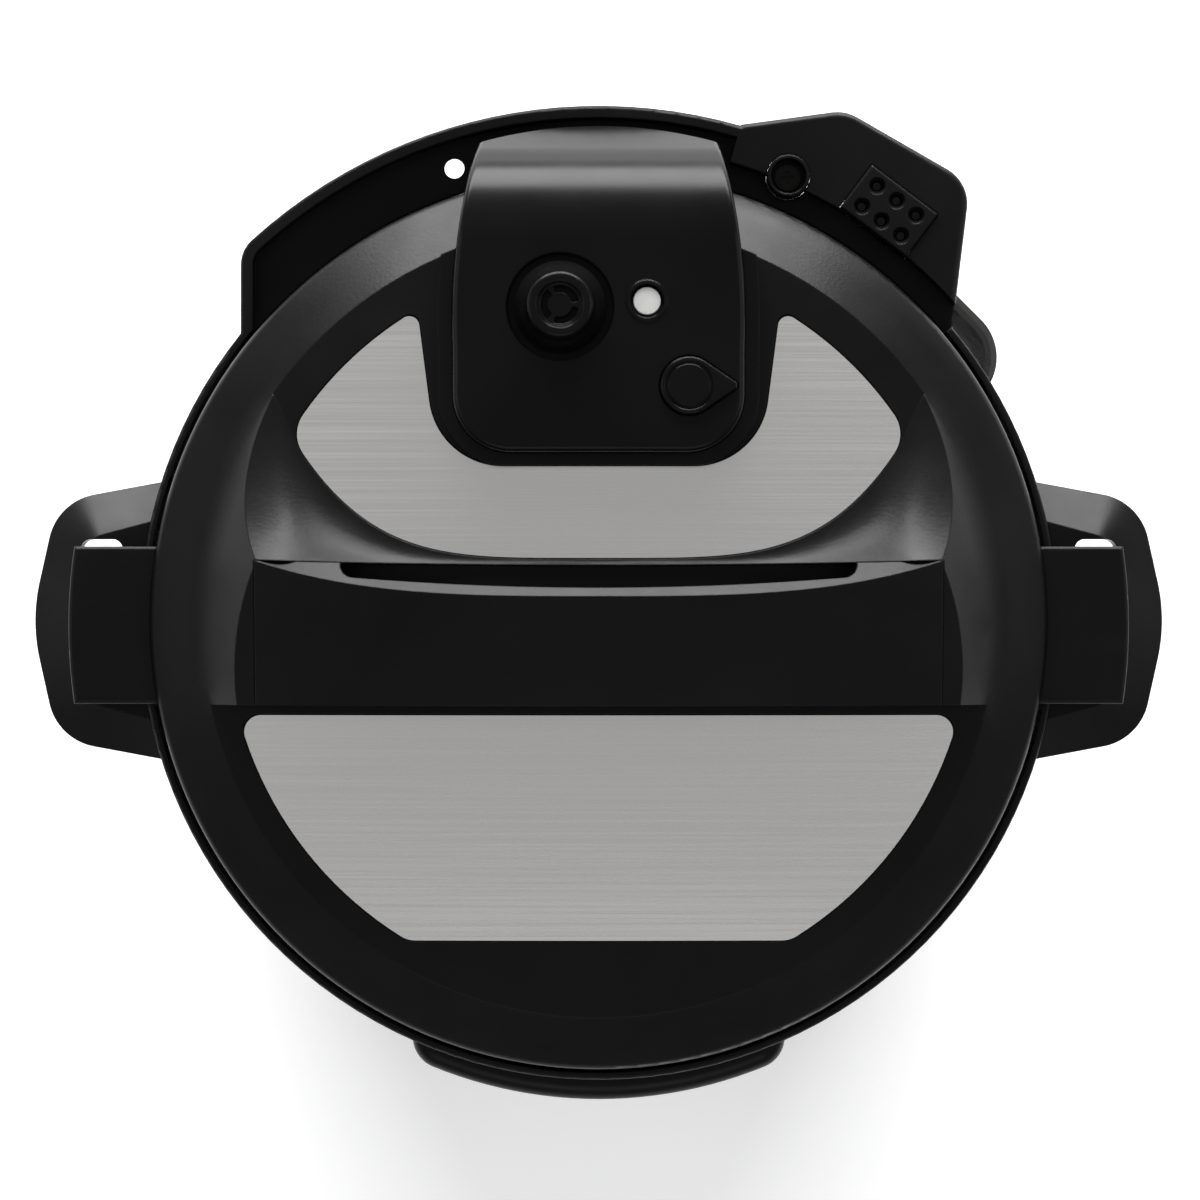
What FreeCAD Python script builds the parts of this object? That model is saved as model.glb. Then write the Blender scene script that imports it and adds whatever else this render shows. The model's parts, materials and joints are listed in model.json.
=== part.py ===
"""Electric pressure cooker with a turning lid, as an assembly of separate pieces.

Millimetres, +Z up, origin on the floor under the pot's axis. The control panel faces -Y and the
steam module is at the rear, on +Y. Azimuths are in degrees from +X, counter-clockwise from above.
"""
import FreeCAD
import Part
import math
import os

Vector = FreeCAD.Vector
UP = Vector(0, 0, 1)

# Clearances
RUN_GAP = 0.3
SEAT_GAP = 0.1

# Base: feet, bottom pan, steel sleeve
FOOT_HEIGHT = 6.0
FOOT_RADIUS = 10.0
FOOT_CIRCLE = 98.0
BODY_RADIUS = 125.0
SLEEVE_WALL = 0.8
SLEEVE_HEIGHT = 174.0
PAN_HEIGHT = 34.0
PAN_STEP = 1.0
PAN_WALL = 3.0
PAN_CORNER = 10.0
UPSTAND = 6.0
VENT_COUNT = 12
VENT_LENGTH = 30.0
VENT_WIDTH = 4.0
VENT_CIRCLE = 70.0

# Upper collar with its lip, rear wing and rear-right lobe
COLLAR_HEIGHT = 46.0
COLLAR_WALL = 2.5
COLLAR_OVERLAP = 8.0
LIP_OUT = 12.6
LIP_WALL = 2.2
LIP_STRAIGHT = 14.0
LIP_EDGE = 1.0
GROOVE_DEPTH = 22.0
SEAT_DEPTH = 19.0
WING_REACH = 16.8
WING_WALL = 3.6
WING_DEPTH = 24.0
WING_LEFT = 107.3
SHELF_DROP = 10.0
SHELF_THICK = 3.0
WING_CORNER = 10.0
DRAIN_RADIUS = 3.0
DRAIN_AZIMUTH = 107.7
DRAIN_INSET = 3.0
LOBE_AZIMUTHS = (74.0, 64.2, 49.7, 38.7)
LOBE_REACHES = (17.2, 32.4, 34.8, -2.0)
LOBE_GROOVE = 5.4

# Base side handles
HANDLE_REACH = 33.9
HANDLE_ROOT = 42.7
HANDLE_END = 36.0
HANDLE_CORNER = 17.0
HANDLE_BORDER = 11.0
HANDLE_SLOPE = 10.0
HANDLE_DROP = 4.0
HANDLE_DEPTH = 26.0
HANDLE_WALL = 3.5
GRIP_SLOT_INNER = 5.3
GRIP_SLOT_WIDTH = 12.9
GRIP_SLOT_LENGTH = 49.0

# Control housing on the front
HOUSING_RADIUS = 137.0
HOUSING_REACH = 24.4
HOUSING_HALF = 58.0
HOUSING_LOW = 22.0
HOUSING_DROP = 18.0
HOUSING_WALL = 2.5
HOUSING_EDGE = 5.0
FASCIA_THICK = 1.6
FASCIA_BORDER = 9.0
FASCIA_LEDGE = 3.0
WINDOW_WIDTH = 56.0
WINDOW_HEIGHT = 44.0
WINDOW_THICK = 0.8
WINDOW_RISE = 22.0
BUTTON_WIDTH = 14.0
BUTTON_MARGIN = 2.5
BUTTON_HEIGHT = 9.0
BUTTON_TRAVEL = 0.8
BUTTON_STEM = 2.0
BUTTON_FLANGE = 1.2
BOARD_THICK = 1.6
CONTROL_BOARD_DEPTH = 21.0
SWITCH_SIZE = 6.0
SWITCH_HEIGHT = 3.5

# Inside of the base
SHELL_RADIUS = 113.8
SHELL_WALL = 1.0
SHELL_DEPTH = 196.0
POT_RADIUS = 110.0
POT_WALL = 1.0
POT_DEPTH = 148.0
POT_CORNER = 12.0
POT_FLANGE = 6.2
RING_HEIGHT = 3.0
RING_INNER = 114.5
LUG_COUNT = 8
LUG_ANGLE = 14.0
LUG_REACH = 4.6
PLATE_RADIUS = 90.0
PLATE_THICK = 12.0
LEG_RADIUS = 6.0
ELEMENT_RADIUS = 62.0
ELEMENT_TUBE = 4.0
SENSOR_RADIUS = 13.0
SENSOR_HEAD = 4.0
SENSOR_STEM = 5.0
SPRING_RADIUS = 9.0
POWER_BOARD = (110.0, 80.0)
STANDOFF = 7.0
SCREW_RADIUS = 1.5
INLET_WIDTH = 28.0
INLET_HEIGHT = 21.0
INLET_DEPTH = 24.0
INLET_WALL = 2.5

# Accessory socket, locator and condensation collector
SOCKET_LENGTH = 24.8
SOCKET_WIDTH = 15.9
SOCKET_DEPTH = 14.0
SOCKET_PROUD = 1.2
SOCKET_AZIMUTH = 54.7
SOCKET_REACH = 12.9
SOCKET_TURN = -37.0
CONTACT_PITCH = (7.3, 7.6)
CONTACT_RADIUS = 1.2
LOCATOR_AZIMUTH = 66.9
LOCATOR_REACH = 7.3
LOCATOR_RADIUS = 6.4
LOCATOR_BORE = 5.3
LOCATOR_DEPTH = 12.0
COLLECTOR_AZIMUTH = 45.0
COLLECTOR_DEPTH = 20.4
COLLECTOR_HALF = 33.0
COLLECTOR_HEIGHT = 51.0
COLLECTOR_DROP = 11.0
COLLECTOR_WALL = 2.0
COLLECTOR_CORNER = 15.0
BRACKET_WALL = 2.0
BRACKET_ANGLE = 28.0
PEG_RADIUS = 3.0
PEG_SPREAD = 18.0

# Lid: cover, panels, steel dome
LID_GAP = 1.7
LID_SKIRT = 14.0
BAND_WIDTH = 16.2
BAND_LOW = 10.0
BAND_HIGH = 22.0
DOME_RISE = 8.0
COVER_WALL = 2.8
PANEL_THICK = 0.8
PANEL_SINK = 0.1
FRONT_PANEL_RADIUS = 110.0
FRONT_PANEL_NEAR = 27.8
FRONT_PANEL_FAR = 94.4
REAR_PANEL_RADIUS = 106.5
REAR_EDGE = 18.6
REAR_EDGE_RISE = 36.0
REAR_EDGE_SPAN = 90.5
REAR_EDGE_POWER = 4.2
NOTCH_FRONT = 45.6
NOTCH_HALF = 47.5
NOTCH_TAPER = 6.0
STEEL_WALL = 1.2
DOME_CAP = 106.0
CAP_FALL = 6.0
DOME_SEAT = 111.5
SEAL_INNER = 110.7
SEAL_HEIGHT = 9.8
RACK_WIRE = 1.4

# Arched handle of the lid
GRIP_HALF = 100.7
GRIP_FRONT = 24.7
GRIP_RISE = 28.0
ARCH_RADIUS = 347.5
GRIP_TILT = 0.18
GRIP_WALL = 7.0
GRIP_SLOPE = 0.9
SEAM = 16.3
SEAM_SWEEP = 1.4
CREST = 7.3
CREST_SWEEP = 10.4
CREST_POWER = 3.2
POCKET_HALF = 75.5
POCKET_DEPTH = 26.0
POCKET_CORNER = 6.0
SLOT_CORNER = 4.0
SLOT_LIP = 2.5
SLOT_SWEEP = 3.2
SLOT_REACH = 9.0
SHOULDER_LIP = 1.5
SHOULDER_RISE = 19.0
SHOULDER_SPAN = 88.0
SHOULDER_POWER = 5.0
SIDE_RUN = 16.3
SIDE_RISE = 21.5

# Fins over the base handles
FIN_REACH = 24.6
FIN_HALF = 23.5
FIN_THICK = 6.0
FIN_LIFT = 1.0
FIN_SHIFT = 1.3

# Steam module and its valves
MODULE_HALF = 42.8
MODULE_FRONT = 49.6
MODULE_CORNER = 17.0
MODULE_REAR_HALF = 35.5
MODULE_REACH = 10.4
MODULE_TOP = 37.0
MODULE_SKIRT = 8.0
MODULE_WALL = 2.5
MODULE_STRAIGHT = 30.0
MODULE_CROWN = 6.0
SURROUND = 4.4
SURROUND_TOP = 31.0
VALVE_X = -11.3
VALVE_Y = 92.3
WELL_RADIUS = 15.8
WELL_DEPTH = 8.0
PIPE_RADIUS = 4.0
WEIGHT_RADIUS = 9.0
CAP_RADIUS = 13.4
CAP_RING = 9.4
CAP_TOP = 49.0
VENT_RING = 5.6
FLOAT_X = 14.2
FLOAT_Y = 93.9
FLOAT_DISC = 4.1
FLOAT_PIN = 2.5
FLOAT_RISE = 5.0
RELEASE_X = 26.6
RELEASE_Y = 69.1
RELEASE_RADIUS = 8.5
RELEASE_POINT = 14.0
RELEASE_TRAVEL = 2.5
RELEASE_STEM = 2.0
ROCKER_REACH = 7.0
ROCKER_WIDTH = 6.0
ROCKER_THICK = 3.0
ROCKER_DROP = 16.0
ROCKER_PIN = 1.5

# Heights
PAN_FLOOR = FOOT_HEIGHT + PAN_WALL
LEDGE = FOOT_HEIGHT + PAN_HEIGHT
BODY_TOP = LEDGE + SLEEVE_HEIGHT
RIM_TOP = BODY_TOP + COLLAR_HEIGHT
GROOVE_FLOOR = RIM_TOP - GROOVE_DEPTH
SEAT = RIM_TOP - SEAT_DEPTH
FLANGE_TOP = SEAT + 2 * SHELL_WALL
RING_TOP = FLANGE_TOP + RING_HEIGHT
POT_RIM = RING_TOP + RUN_GAP
POT_BOTTOM = POT_RIM - POT_DEPTH
PLATE_TOP = POT_BOTTOM - RUN_GAP
SHELL_BOTTOM = RIM_TOP - SHELL_DEPTH
SHELF = RIM_TOP - SHELF_DROP
WING_LOW = RIM_TOP - WING_DEPTH
SEAL_LOW = POT_RIM + POT_WALL + RUN_GAP
SEAL_TOP = SEAL_LOW + SEAL_HEIGHT
DOME_FLAT = SEAL_TOP + RUN_GAP
DOME_CENTRE = DOME_FLAT + 17.0
COVER_LOW = RIM_TOP - LID_SKIRT
COVER_TOP = RIM_TOP + BAND_HIGH + DOME_RISE
GRIP_TOP = COVER_TOP + GRIP_RISE
MODULE_Z = RIM_TOP + MODULE_TOP
MODULE_LOW = RIM_TOP - MODULE_SKIRT
WELL_FLOOR = MODULE_Z - WELL_DEPTH
ROCKER_Z = MODULE_Z - ROCKER_DROP

# Radii
LIP_RADIUS = BODY_RADIUS + LIP_OUT
LIP_INNER = LIP_RADIUS - LIP_WALL
LID_RADIUS = LIP_INNER - LID_GAP
BAND_RADIUS = LID_RADIUS - BAND_WIDTH
WING_RADIUS = LIP_RADIUS + WING_REACH
MODULE_REAR = LIP_RADIUS + MODULE_REACH
DOME_RADIUS = (BAND_RADIUS ** 2 + DOME_RISE ** 2) / (2 * DOME_RISE)
SKIRT_RADIUS = LID_RADIUS - COVER_WALL - 1.9
RING_OUTER = SHELL_RADIUS + 5.2
LUG_RADIUS = RING_OUTER + LUG_REACH
HOUSING_Y = HOUSING_RADIUS - BODY_RADIUS - HOUSING_REACH
FASCIA_FRONT = HOUSING_RADIUS - 0.2
FASCIA_BACK = FASCIA_FRONT - FASCIA_THICK
TALL = 4 * RIM_TOP


def wire(steps):
    """Closed wire in the XY plane. A step is (a, b), (a, b, radius) for a rounded corner, or
    (a, b, (c, d)) for an arc through (c, d) that ends at (a, b)."""
    points = [Vector(step[0], step[1], 0) for step in steps]
    arrive = list(points)
    leave = list(points)
    rounds = {}
    for i, step in enumerate(steps):
        if len(step) < 3 or isinstance(step[2], tuple):
            continue
        here = points[i]
        back = (points[i - 1] - here).normalize()
        ahead = (points[(i + 1) % len(steps)] - here).normalize()
        half = back.getAngle(ahead) / 2
        reach = step[2] / math.tan(half)
        inward = (back + ahead).normalize()
        middle = here + inward * (step[2] / math.sin(half) - step[2])
        arrive[i] = here + back * reach
        leave[i] = here + ahead * reach
        rounds[i] = Part.Arc(arrive[i], middle, leave[i]).toShape()
    edges = []
    for i, step in enumerate(steps):
        if len(step) > 2 and isinstance(step[2], tuple):
            through = Vector(step[2][0], step[2][1], 0)
            edges.append(Part.Arc(leave[i - 1], through, arrive[i]).toShape())
        elif leave[i - 1].distanceToPoint(arrive[i]) > 1e-6:
            edges.append(Part.LineSegment(leave[i - 1], arrive[i]).toShape())
        if i in rounds:
            edges.append(rounds[i])
    return Part.Wire(edges)


def outward(solid):
    """The solid with its faces looking outwards."""
    return solid if solid.Volume > 0 else solid.reversed()


def prism(steps, bottom, top):
    """Upright solid on a plan outline."""
    face = Part.Face(wire(steps))
    face.translate(UP * bottom)
    return outward(face.extrude(UP * (top - bottom)))


def turned(steps, angle=360.0, start=0.0):
    """Solid of revolution about Z from a profile of (radius, height) steps."""
    face = Part.Face(wire(steps))
    face.rotate(Vector(), Vector(1, 0, 0), 90)
    solid = face.revolve(Vector(), UP, angle)
    solid.rotate(Vector(), UP, start)
    return outward(solid)


def sideways(steps, left, right):
    """Solid from a profile of (y, z) steps, run along X."""
    face = Part.Face(wire(steps))
    face.rotate(Vector(), Vector(1, 1, 1), 120)
    face.translate(Vector(left, 0, 0))
    return outward(face.extrude(Vector(right - left, 0, 0)))


def rod(radius, bottom, top, x=0.0, y=0.0):
    return Part.makeCylinder(radius, top - bottom, Vector(x, y, bottom))


def tube(outer, inner, bottom, top, x=0.0, y=0.0):
    return rod(outer, bottom, top, x, y).cut(rod(inner, bottom, top, x, y))


def block(low, high):
    """Box between two corners."""
    size = [b - a for a, b in zip(low, high)]
    return Part.makeBox(size[0], size[1], size[2], Vector(*low))


def spun(shape, azimuth, x=0.0, y=0.0):
    """Copy of a shape, turned about a vertical line."""
    copy = shape.copy()
    copy.rotate(Vector(x, y, 0), UP, azimuth)
    return copy


def mirrored(shape):
    return shape.mirror(Vector(), Vector(1, 0, 0))


def polar(radius, azimuth):
    angle = math.radians(azimuth)
    return radius * math.cos(angle), radius * math.sin(angle)


def softened(shape, radius, chosen):
    """Shape with the edges that chosen picks rounded."""
    return shape.makeFillet(radius, [edge for edge in shape.Edges if chosen(edge)])


def level(edge, height):
    box = edge.BoundBox
    return abs(box.ZMin - height) < 0.01 and abs(box.ZMax - height) < 0.01


def upright_at(edge, x, y, reach=3.0):
    box = edge.BoundBox
    near = math.hypot(box.Center.x - x, box.Center.y - y) < reach
    return near and box.XLength < 0.1 and box.YLength < 0.1 and box.ZLength > 0.5


def group(shapes):
    return Part.makeCompound(shapes)


def wedge(start, end, bottom, top):
    """Sector of a large disc between two azimuths, for cutting."""
    reach = 3 * LIP_RADIUS
    far = polar(reach, (start + end) / 2)
    return prism([(0, 0), polar(reach, start), (*polar(reach, end), far)], bottom, top)


# Base

def rubber_feet():
    foot = rod(FOOT_RADIUS, 0, FOOT_HEIGHT, FOOT_CIRCLE)
    foot = softened(foot, FOOT_HEIGHT / 4, lambda edge: level(edge, 0))
    return group([spun(foot, azimuth) for azimuth in (45, 135, 225, 315)])


def board_corners():
    """Screw places of the power board."""
    half_x = POWER_BOARD[0] / 2 - 5
    half_y = POWER_BOARD[1] / 2 - 5
    return [(x, y) for x in (-half_x, half_x) for y in (-half_y, half_y)]


def inlet_block(grow, depth):
    """Space of the mains inlet in the pan's rear wall."""
    half = INLET_WIDTH / 2 + grow
    middle = (FOOT_HEIGHT + LEDGE) / 2
    tall = INLET_HEIGHT / 2 + grow
    back = BODY_RADIUS + PAN_STEP - depth
    return block((-half, back, middle - tall), (half, back + 2 * depth, middle + tall))


def base_bottom():
    outer = BODY_RADIUS + PAN_STEP
    neck = BODY_RADIUS - SLEEVE_WALL - SEAT_GAP
    inner = neck - PAN_WALL + 0.5
    pan = turned([
        (0, FOOT_HEIGHT), (outer, FOOT_HEIGHT, PAN_CORNER), (outer, LEDGE), (neck, LEDGE),
        (neck, LEDGE + UPSTAND), (inner, LEDGE + UPSTAND), (inner, PAN_FLOOR, PAN_CORNER - PAN_WALL),
        (0, PAN_FLOOR)])
    slot = block((VENT_CIRCLE - VENT_LENGTH / 2, -VENT_WIDTH / 2, 0),
                 (VENT_CIRCLE + VENT_LENGTH / 2, VENT_WIDTH / 2, 2 * PAN_FLOOR))
    turn = 360 / VENT_COUNT
    pan = pan.cut(group([spun(slot, turn * (i + 0.5)) for i in range(VENT_COUNT)]))
    posts = [rod(2 * SCREW_RADIUS, FOOT_HEIGHT, PAN_FLOOR + STANDOFF, x, y) for x, y in board_corners()]
    pan = pan.fuse(posts).cut(inlet_block(0, INLET_DEPTH))
    holes = [rod(SCREW_RADIUS, PAN_FLOOR, TALL, x, y) for x, y in board_corners()]
    return pan.cut(holes)


def outer_sleeve():
    sleeve = tube(BODY_RADIUS, BODY_RADIUS - SLEEVE_WALL, LEDGE, BODY_TOP)
    low = LEDGE + HOUSING_LOW + SLEEVE_HEIGHT / 4
    return sleeve.cut(block((-30, -2 * BODY_RADIUS, low), (30, 0, low + SLEEVE_HEIGHT / 4)))


def collar_outside(grow):
    """Corners of the collar's outer face, from its lower edge up to the lip's top."""
    foot = BODY_RADIUS + SEAT_GAP + COLLAR_WALL + grow
    low = BODY_TOP - COLLAR_OVERLAP
    return [(foot, low), (foot, low + 6, 8.0), (LIP_RADIUS + grow, RIM_TOP - LIP_STRAIGHT, 12.0)]


def collar_core(grow):
    """The collar's outer form as a filled solid, for cutting what meets it."""
    return turned([(0, BODY_TOP - COLLAR_OVERLAP)] + collar_outside(grow)
                  + [(LIP_RADIUS + grow, RIM_TOP + 1), (0, RIM_TOP + 1)])


def lobe_steps():
    places = [polar(LIP_RADIUS + reach, azimuth) for azimuth, reach in zip(LOBE_AZIMUTHS, LOBE_REACHES)]
    return [places[0], (*places[1], 12.0), (*places[2], 12.0), places[3]]


def lobe_solid(inset, bottom, top):
    """Rear-right lobe, run in under the rim."""
    steps = lobe_steps()
    outline = wire(steps + [polar(LIP_INNER - 3, LOBE_AZIMUTHS[3]), polar(LIP_INNER - 3, LOBE_AZIMUTHS[0])])
    if inset:
        outline = outline.makeOffset2D(-inset)
    face = Part.Face(outline)
    face.translate(UP * bottom)
    return outward(face.extrude(UP * (top - bottom)))


def wing_solid(inset, bottom, top):
    """Rear wing: part of a disc, closed by a straight wall on the left."""
    right = polar(LIP_RADIUS, LOBE_AZIMUTHS[0])[0]
    plan = block((inset - WING_LEFT, LIP_RADIUS / 2, bottom), (right + 6, 2 * LIP_RADIUS, top))
    solid = rod(WING_RADIUS - inset, bottom, top).common(plan)
    solid = solid.cut(rod(LIP_INNER - 1, bottom, top))
    corner_y = math.sqrt((WING_RADIUS - inset) ** 2 - (WING_LEFT - inset) ** 2)
    return softened(solid, WING_CORNER - inset, lambda edge: upright_at(edge, inset - WING_LEFT, corner_y))


def socket_place():
    return polar(LIP_RADIUS + SOCKET_REACH, SOCKET_AZIMUTH)


def locator_place():
    return polar(LIP_RADIUS + LOCATOR_REACH, LOCATOR_AZIMUTH)


def socket_block(length, width, bottom, top):
    x, y = socket_place()
    solid = block((x - length / 2, y - width / 2, bottom), (x + length / 2, y + width / 2, top))
    return spun(solid, SOCKET_TURN, x, y)


def collar_inside():
    """Space inside the collar: the lid's groove, the shell's seat and the sleeve's socket."""
    wall = BODY_RADIUS + SEAT_GAP
    inner = BODY_RADIUS - SLEEVE_WALL - COLLAR_WALL
    under = GROOVE_FLOOR - COLLAR_WALL
    seat_in = SHELL_RADIUS + 1.8
    seat_low = SEAT - 15
    rail = RING_OUTER + 0.5
    return turned([
        (0, 0), (wall, 0), (wall, BODY_TOP), (inner, BODY_TOP), (inner, BODY_TOP + COLLAR_WALL),
        (wall, BODY_TOP + COLLAR_WALL), (LIP_RADIUS - 7, under), (seat_in + COLLAR_WALL, under),
        (seat_in + COLLAR_WALL, seat_low), (seat_in, seat_low), (seat_in, SEAT), (rail, SEAT),
        (rail, GROOVE_FLOOR), (LIP_INNER, GROOVE_FLOOR), (LIP_INNER, TALL), (0, TALL)])


def swing_space():
    """Room over the shelf for the steam module, and the groove along the lobe."""
    high = RIM_TOP + 1
    shelf = wing_solid(WING_WALL, SHELF, high).cut(lobe_solid(0, SHELF, high))
    groove = rod(LIP_RADIUS + LOBE_GROOVE, SHELF, high)
    groove = groove.common(wedge(LOBE_AZIMUTHS[3] + 1, 180, SHELF, high))
    end_wall = block((-TALL, 0, 0), (WING_WALL - WING_LEFT, TALL, TALL))
    return shelf.fuse(groove.cut(end_wall))


def upper_collar():
    core = turned([(0, BODY_TOP - COLLAR_OVERLAP)] + collar_outside(0)
                  + [(LIP_RADIUS, RIM_TOP, LIP_EDGE), (0, RIM_TOP)])
    wing = softened(wing_solid(0, WING_LOW, RIM_TOP), LIP_EDGE, lambda edge: level(edge, RIM_TOP))
    lobe = softened(lobe_solid(0, WING_LOW, RIM_TOP), 2 * LIP_EDGE, lambda edge: level(edge, RIM_TOP))
    hollow = wing_solid(WING_WALL, WING_LOW - 1, SHELF - SHELF_THICK)
    hollow = hollow.fuse(lobe_solid(WING_WALL, WING_LOW - 1, RIM_TOP - SHELF_THICK))
    hollow = hollow.cut(rod(LIP_RADIUS + LOBE_GROOVE + SHELF_THICK, SHELF - SHELF_THICK, RIM_TOP))
    collar = core.fuse([wing, lobe]).cut(hollow.cut(collar_core(SEAT_GAP))).cut(collar_inside())
    drain_x, drain_y = polar((LIP_RADIUS + WING_RADIUS) / 2 - DRAIN_INSET, DRAIN_AZIMUTH)
    locator_x, locator_y = locator_place()
    collar = collar.cut(swing_space())
    return collar.cut([
        rod(DRAIN_RADIUS, 0, TALL, drain_x, drain_y),
        rod(LOCATOR_RADIUS + SEAT_GAP, 0, TALL, locator_x, locator_y),
        socket_block(SOCKET_LENGTH + RUN_GAP, SOCKET_WIDTH + RUN_GAP, 0, TALL)])


def handle_plan(inset):
    """Outline of the right handle, its corners rounded; the root runs in under the rim."""
    root = LIP_INNER - 8
    end = LIP_RADIUS + HANDLE_REACH - inset
    reach = HANDLE_END - inset
    corner = HANDLE_CORNER - inset
    return wire([(root, inset - HANDLE_ROOT), (end - 8, -reach, corner), (end, 0, 1.5 * reach),
                 (end - 8, reach, corner),
                 (root, HANDLE_ROOT - inset)])


def right_handle():
    top = RIM_TOP - HANDLE_DROP
    rim = top - HANDLE_SLOPE
    low = RIM_TOP - HANDLE_DEPTH - HANDLE_DROP
    lower = Part.Face(handle_plan(0))
    lower.translate(UP * low)
    body = lower.extrude(UP * (rim - low))
    wires = [handle_plan(0), handle_plan(HANDLE_BORDER)]
    wires[0].translate(UP * rim)
    wires[1].translate(UP * top)
    body = body.fuse(Part.makeLoft(wires, True, True)).removeSplitter()
    pocket = Part.Face(handle_plan(HANDLE_WALL))
    pocket.translate(UP * low)
    body = body.cut(pocket.extrude(UP * (rim - HANDLE_WALL - low)))
    slot_in = LIP_RADIUS + GRIP_SLOT_INNER
    slot_out = slot_in + GRIP_SLOT_WIDTH
    half = GRIP_SLOT_LENGTH / 2
    corner = GRIP_SLOT_WIDTH / 4
    body = body.cut(prism([(slot_in, -half, corner), (slot_out, -half, corner), (slot_out, half, corner),
                           (slot_in, half, corner)], 0, TALL))
    return body.cut(collar_core(SEAT_GAP))


# Control panel

def front_arc(radius):
    """Upright cylinder of the control panel's curve."""
    return rod(radius, 0, RIM_TOP, 0, HOUSING_Y)


HOUSING_Z0 = LEDGE + HOUSING_LOW
HOUSING_Z1 = BODY_TOP - HOUSING_DROP
PANEL_MIDDLE = (HOUSING_Z0 + HOUSING_Z1) / 2
BOARD_FRONT = HOUSING_Y - HOUSING_RADIUS + CONTROL_BOARD_DEPTH - BOARD_THICK


def front_block(border, inner, outer):
    """Curved slab of the panel, its edge set in by border from the housing's outline."""
    half = HOUSING_HALF - border
    slab = front_arc(outer).cut(front_arc(inner)) if inner else front_arc(outer)
    return slab.common(block((-half, -2 * HOUSING_RADIUS, HOUSING_Z0 + border),
                             (half, -BODY_RADIUS * 0.6, HOUSING_Z1 - border)))


def window_block(shrink, inner, outer):
    middle = PANEL_MIDDLE + WINDOW_RISE
    half = WINDOW_WIDTH / 2 - shrink
    tall = WINDOW_HEIGHT / 2 - shrink
    return front_arc(outer).cut(front_arc(inner)).common(
        block((-half, -2 * HOUSING_RADIUS, middle - tall), (half, 0, middle + tall)))


def button_places():
    """Name, turn from the panel's middle and height of each push button."""
    side = math.degrees((WINDOW_WIDTH / 2 + BUTTON_WIDTH / 2 + BUTTON_MARGIN) / HOUSING_RADIUS)
    side_high = PANEL_MIDDLE + WINDOW_RISE + WINDOW_HEIGHT / 4 + 1
    side_low = PANEL_MIDDLE + WINDOW_RISE - WINDOW_HEIGHT / 4 - 1
    row = PANEL_MIDDLE - WINDOW_HEIGHT / 2
    step = math.degrees((BUTTON_WIDTH + 2 * BUTTON_MARGIN) / HOUSING_RADIUS)
    return [("timer_button", -side, side_high), ("mode_button", -side, side_low),
            ("pressure_button", side, side_high), ("warm_button", side, side_low),
            ("minus_button", -1.5 * step, row), ("cancel_button", -0.5 * step, row),
            ("start_button", 0.5 * step, row), ("plus_button", 1.5 * step, row)]


def button_block(turn, height, grow, inner, outer):
    half = BUTTON_WIDTH / 2 + grow
    tall = BUTTON_HEIGHT / 2 + grow
    slab = block((-half, HOUSING_Y - outer - 1, height - tall), (half, HOUSING_Y - inner, height + tall))
    slab = softened(slab, 1.5, lambda edge: edge.BoundBox.YLength > 0.5 and edge.BoundBox.XLength < 0.1
                    and edge.BoundBox.ZLength < 0.1)
    return spun(slab.common(front_arc(outer)), turn, 0, HOUSING_Y)


def push_button(turn, height):
    cap = button_block(turn, height, 0, FASCIA_BACK - SEAT_GAP - BUTTON_FLANGE, FASCIA_FRONT + 0.1)
    back = FASCIA_BACK - SEAT_GAP
    flange = button_block(turn, height, 1.0, back - BUTTON_FLANGE, back)
    cap_back = HOUSING_Y - back + BUTTON_FLANGE
    stem_end = (BOARD_FRONT - SWITCH_HEIGHT - 2 * BUTTON_TRAVEL - HOUSING_Y) / math.cos(math.radians(turn))
    length = HOUSING_Y + stem_end - cap_back
    stem = Part.makeCylinder(BUTTON_STEM, length + 0.5, Vector(0, cap_back - 0.5, height), Vector(0, 1, 0))
    return cap.fuse([flange, spun(stem, turn, 0, HOUSING_Y)]).removeSplitter()


def control_housing():
    box = front_block(0, 0, HOUSING_RADIUS)
    side_y = HOUSING_Y - math.sqrt(HOUSING_RADIUS ** 2 - HOUSING_HALF ** 2)
    box = softened(box, 2 * HOUSING_EDGE, lambda edge: upright_at(edge, HOUSING_HALF, side_y)
                   or upright_at(edge, -HOUSING_HALF, side_y))
    back_y = -BODY_RADIUS * 0.6
    box = softened(box, HOUSING_EDGE, lambda edge: edge.BoundBox.YMin < back_y - 1
                   and (level(edge, HOUSING_Z0) or level(edge, HOUSING_Z1)))
    box = box.cut(front_block(HOUSING_WALL, 0, HOUSING_RADIUS - HOUSING_WALL))
    box = box.cut(rod(BODY_RADIUS + SEAT_GAP, 0, RIM_TOP))
    posts = []
    for x, z in control_posts():
        posts.append(Part.makeCylinder(2 * SCREW_RADIUS, CONTROL_BOARD_DEPTH, Vector(x, BOARD_FRONT, z),
                                       Vector(0, -1, 0)))
    posts = group(posts).common(front_arc(HOUSING_RADIUS - HOUSING_WALL / 2))
    box = box.fuse(posts.Solids)
    box = box.cut(front_block(FASCIA_BORDER + FASCIA_LEDGE, FASCIA_BACK - 10, HOUSING_RADIUS + 1))
    return box.cut(front_block(FASCIA_BORDER, FASCIA_BACK, HOUSING_RADIUS + 1))


def control_posts():
    half = HOUSING_HALF - HOUSING_WALL - 2 * SCREW_RADIUS - 0.5
    rise = HOUSING_WALL + 2 * SCREW_RADIUS + 0.5
    return [(x, z) for x in (-half, half) for z in (HOUSING_Z0 + rise, HOUSING_Z1 - rise)]


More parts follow.
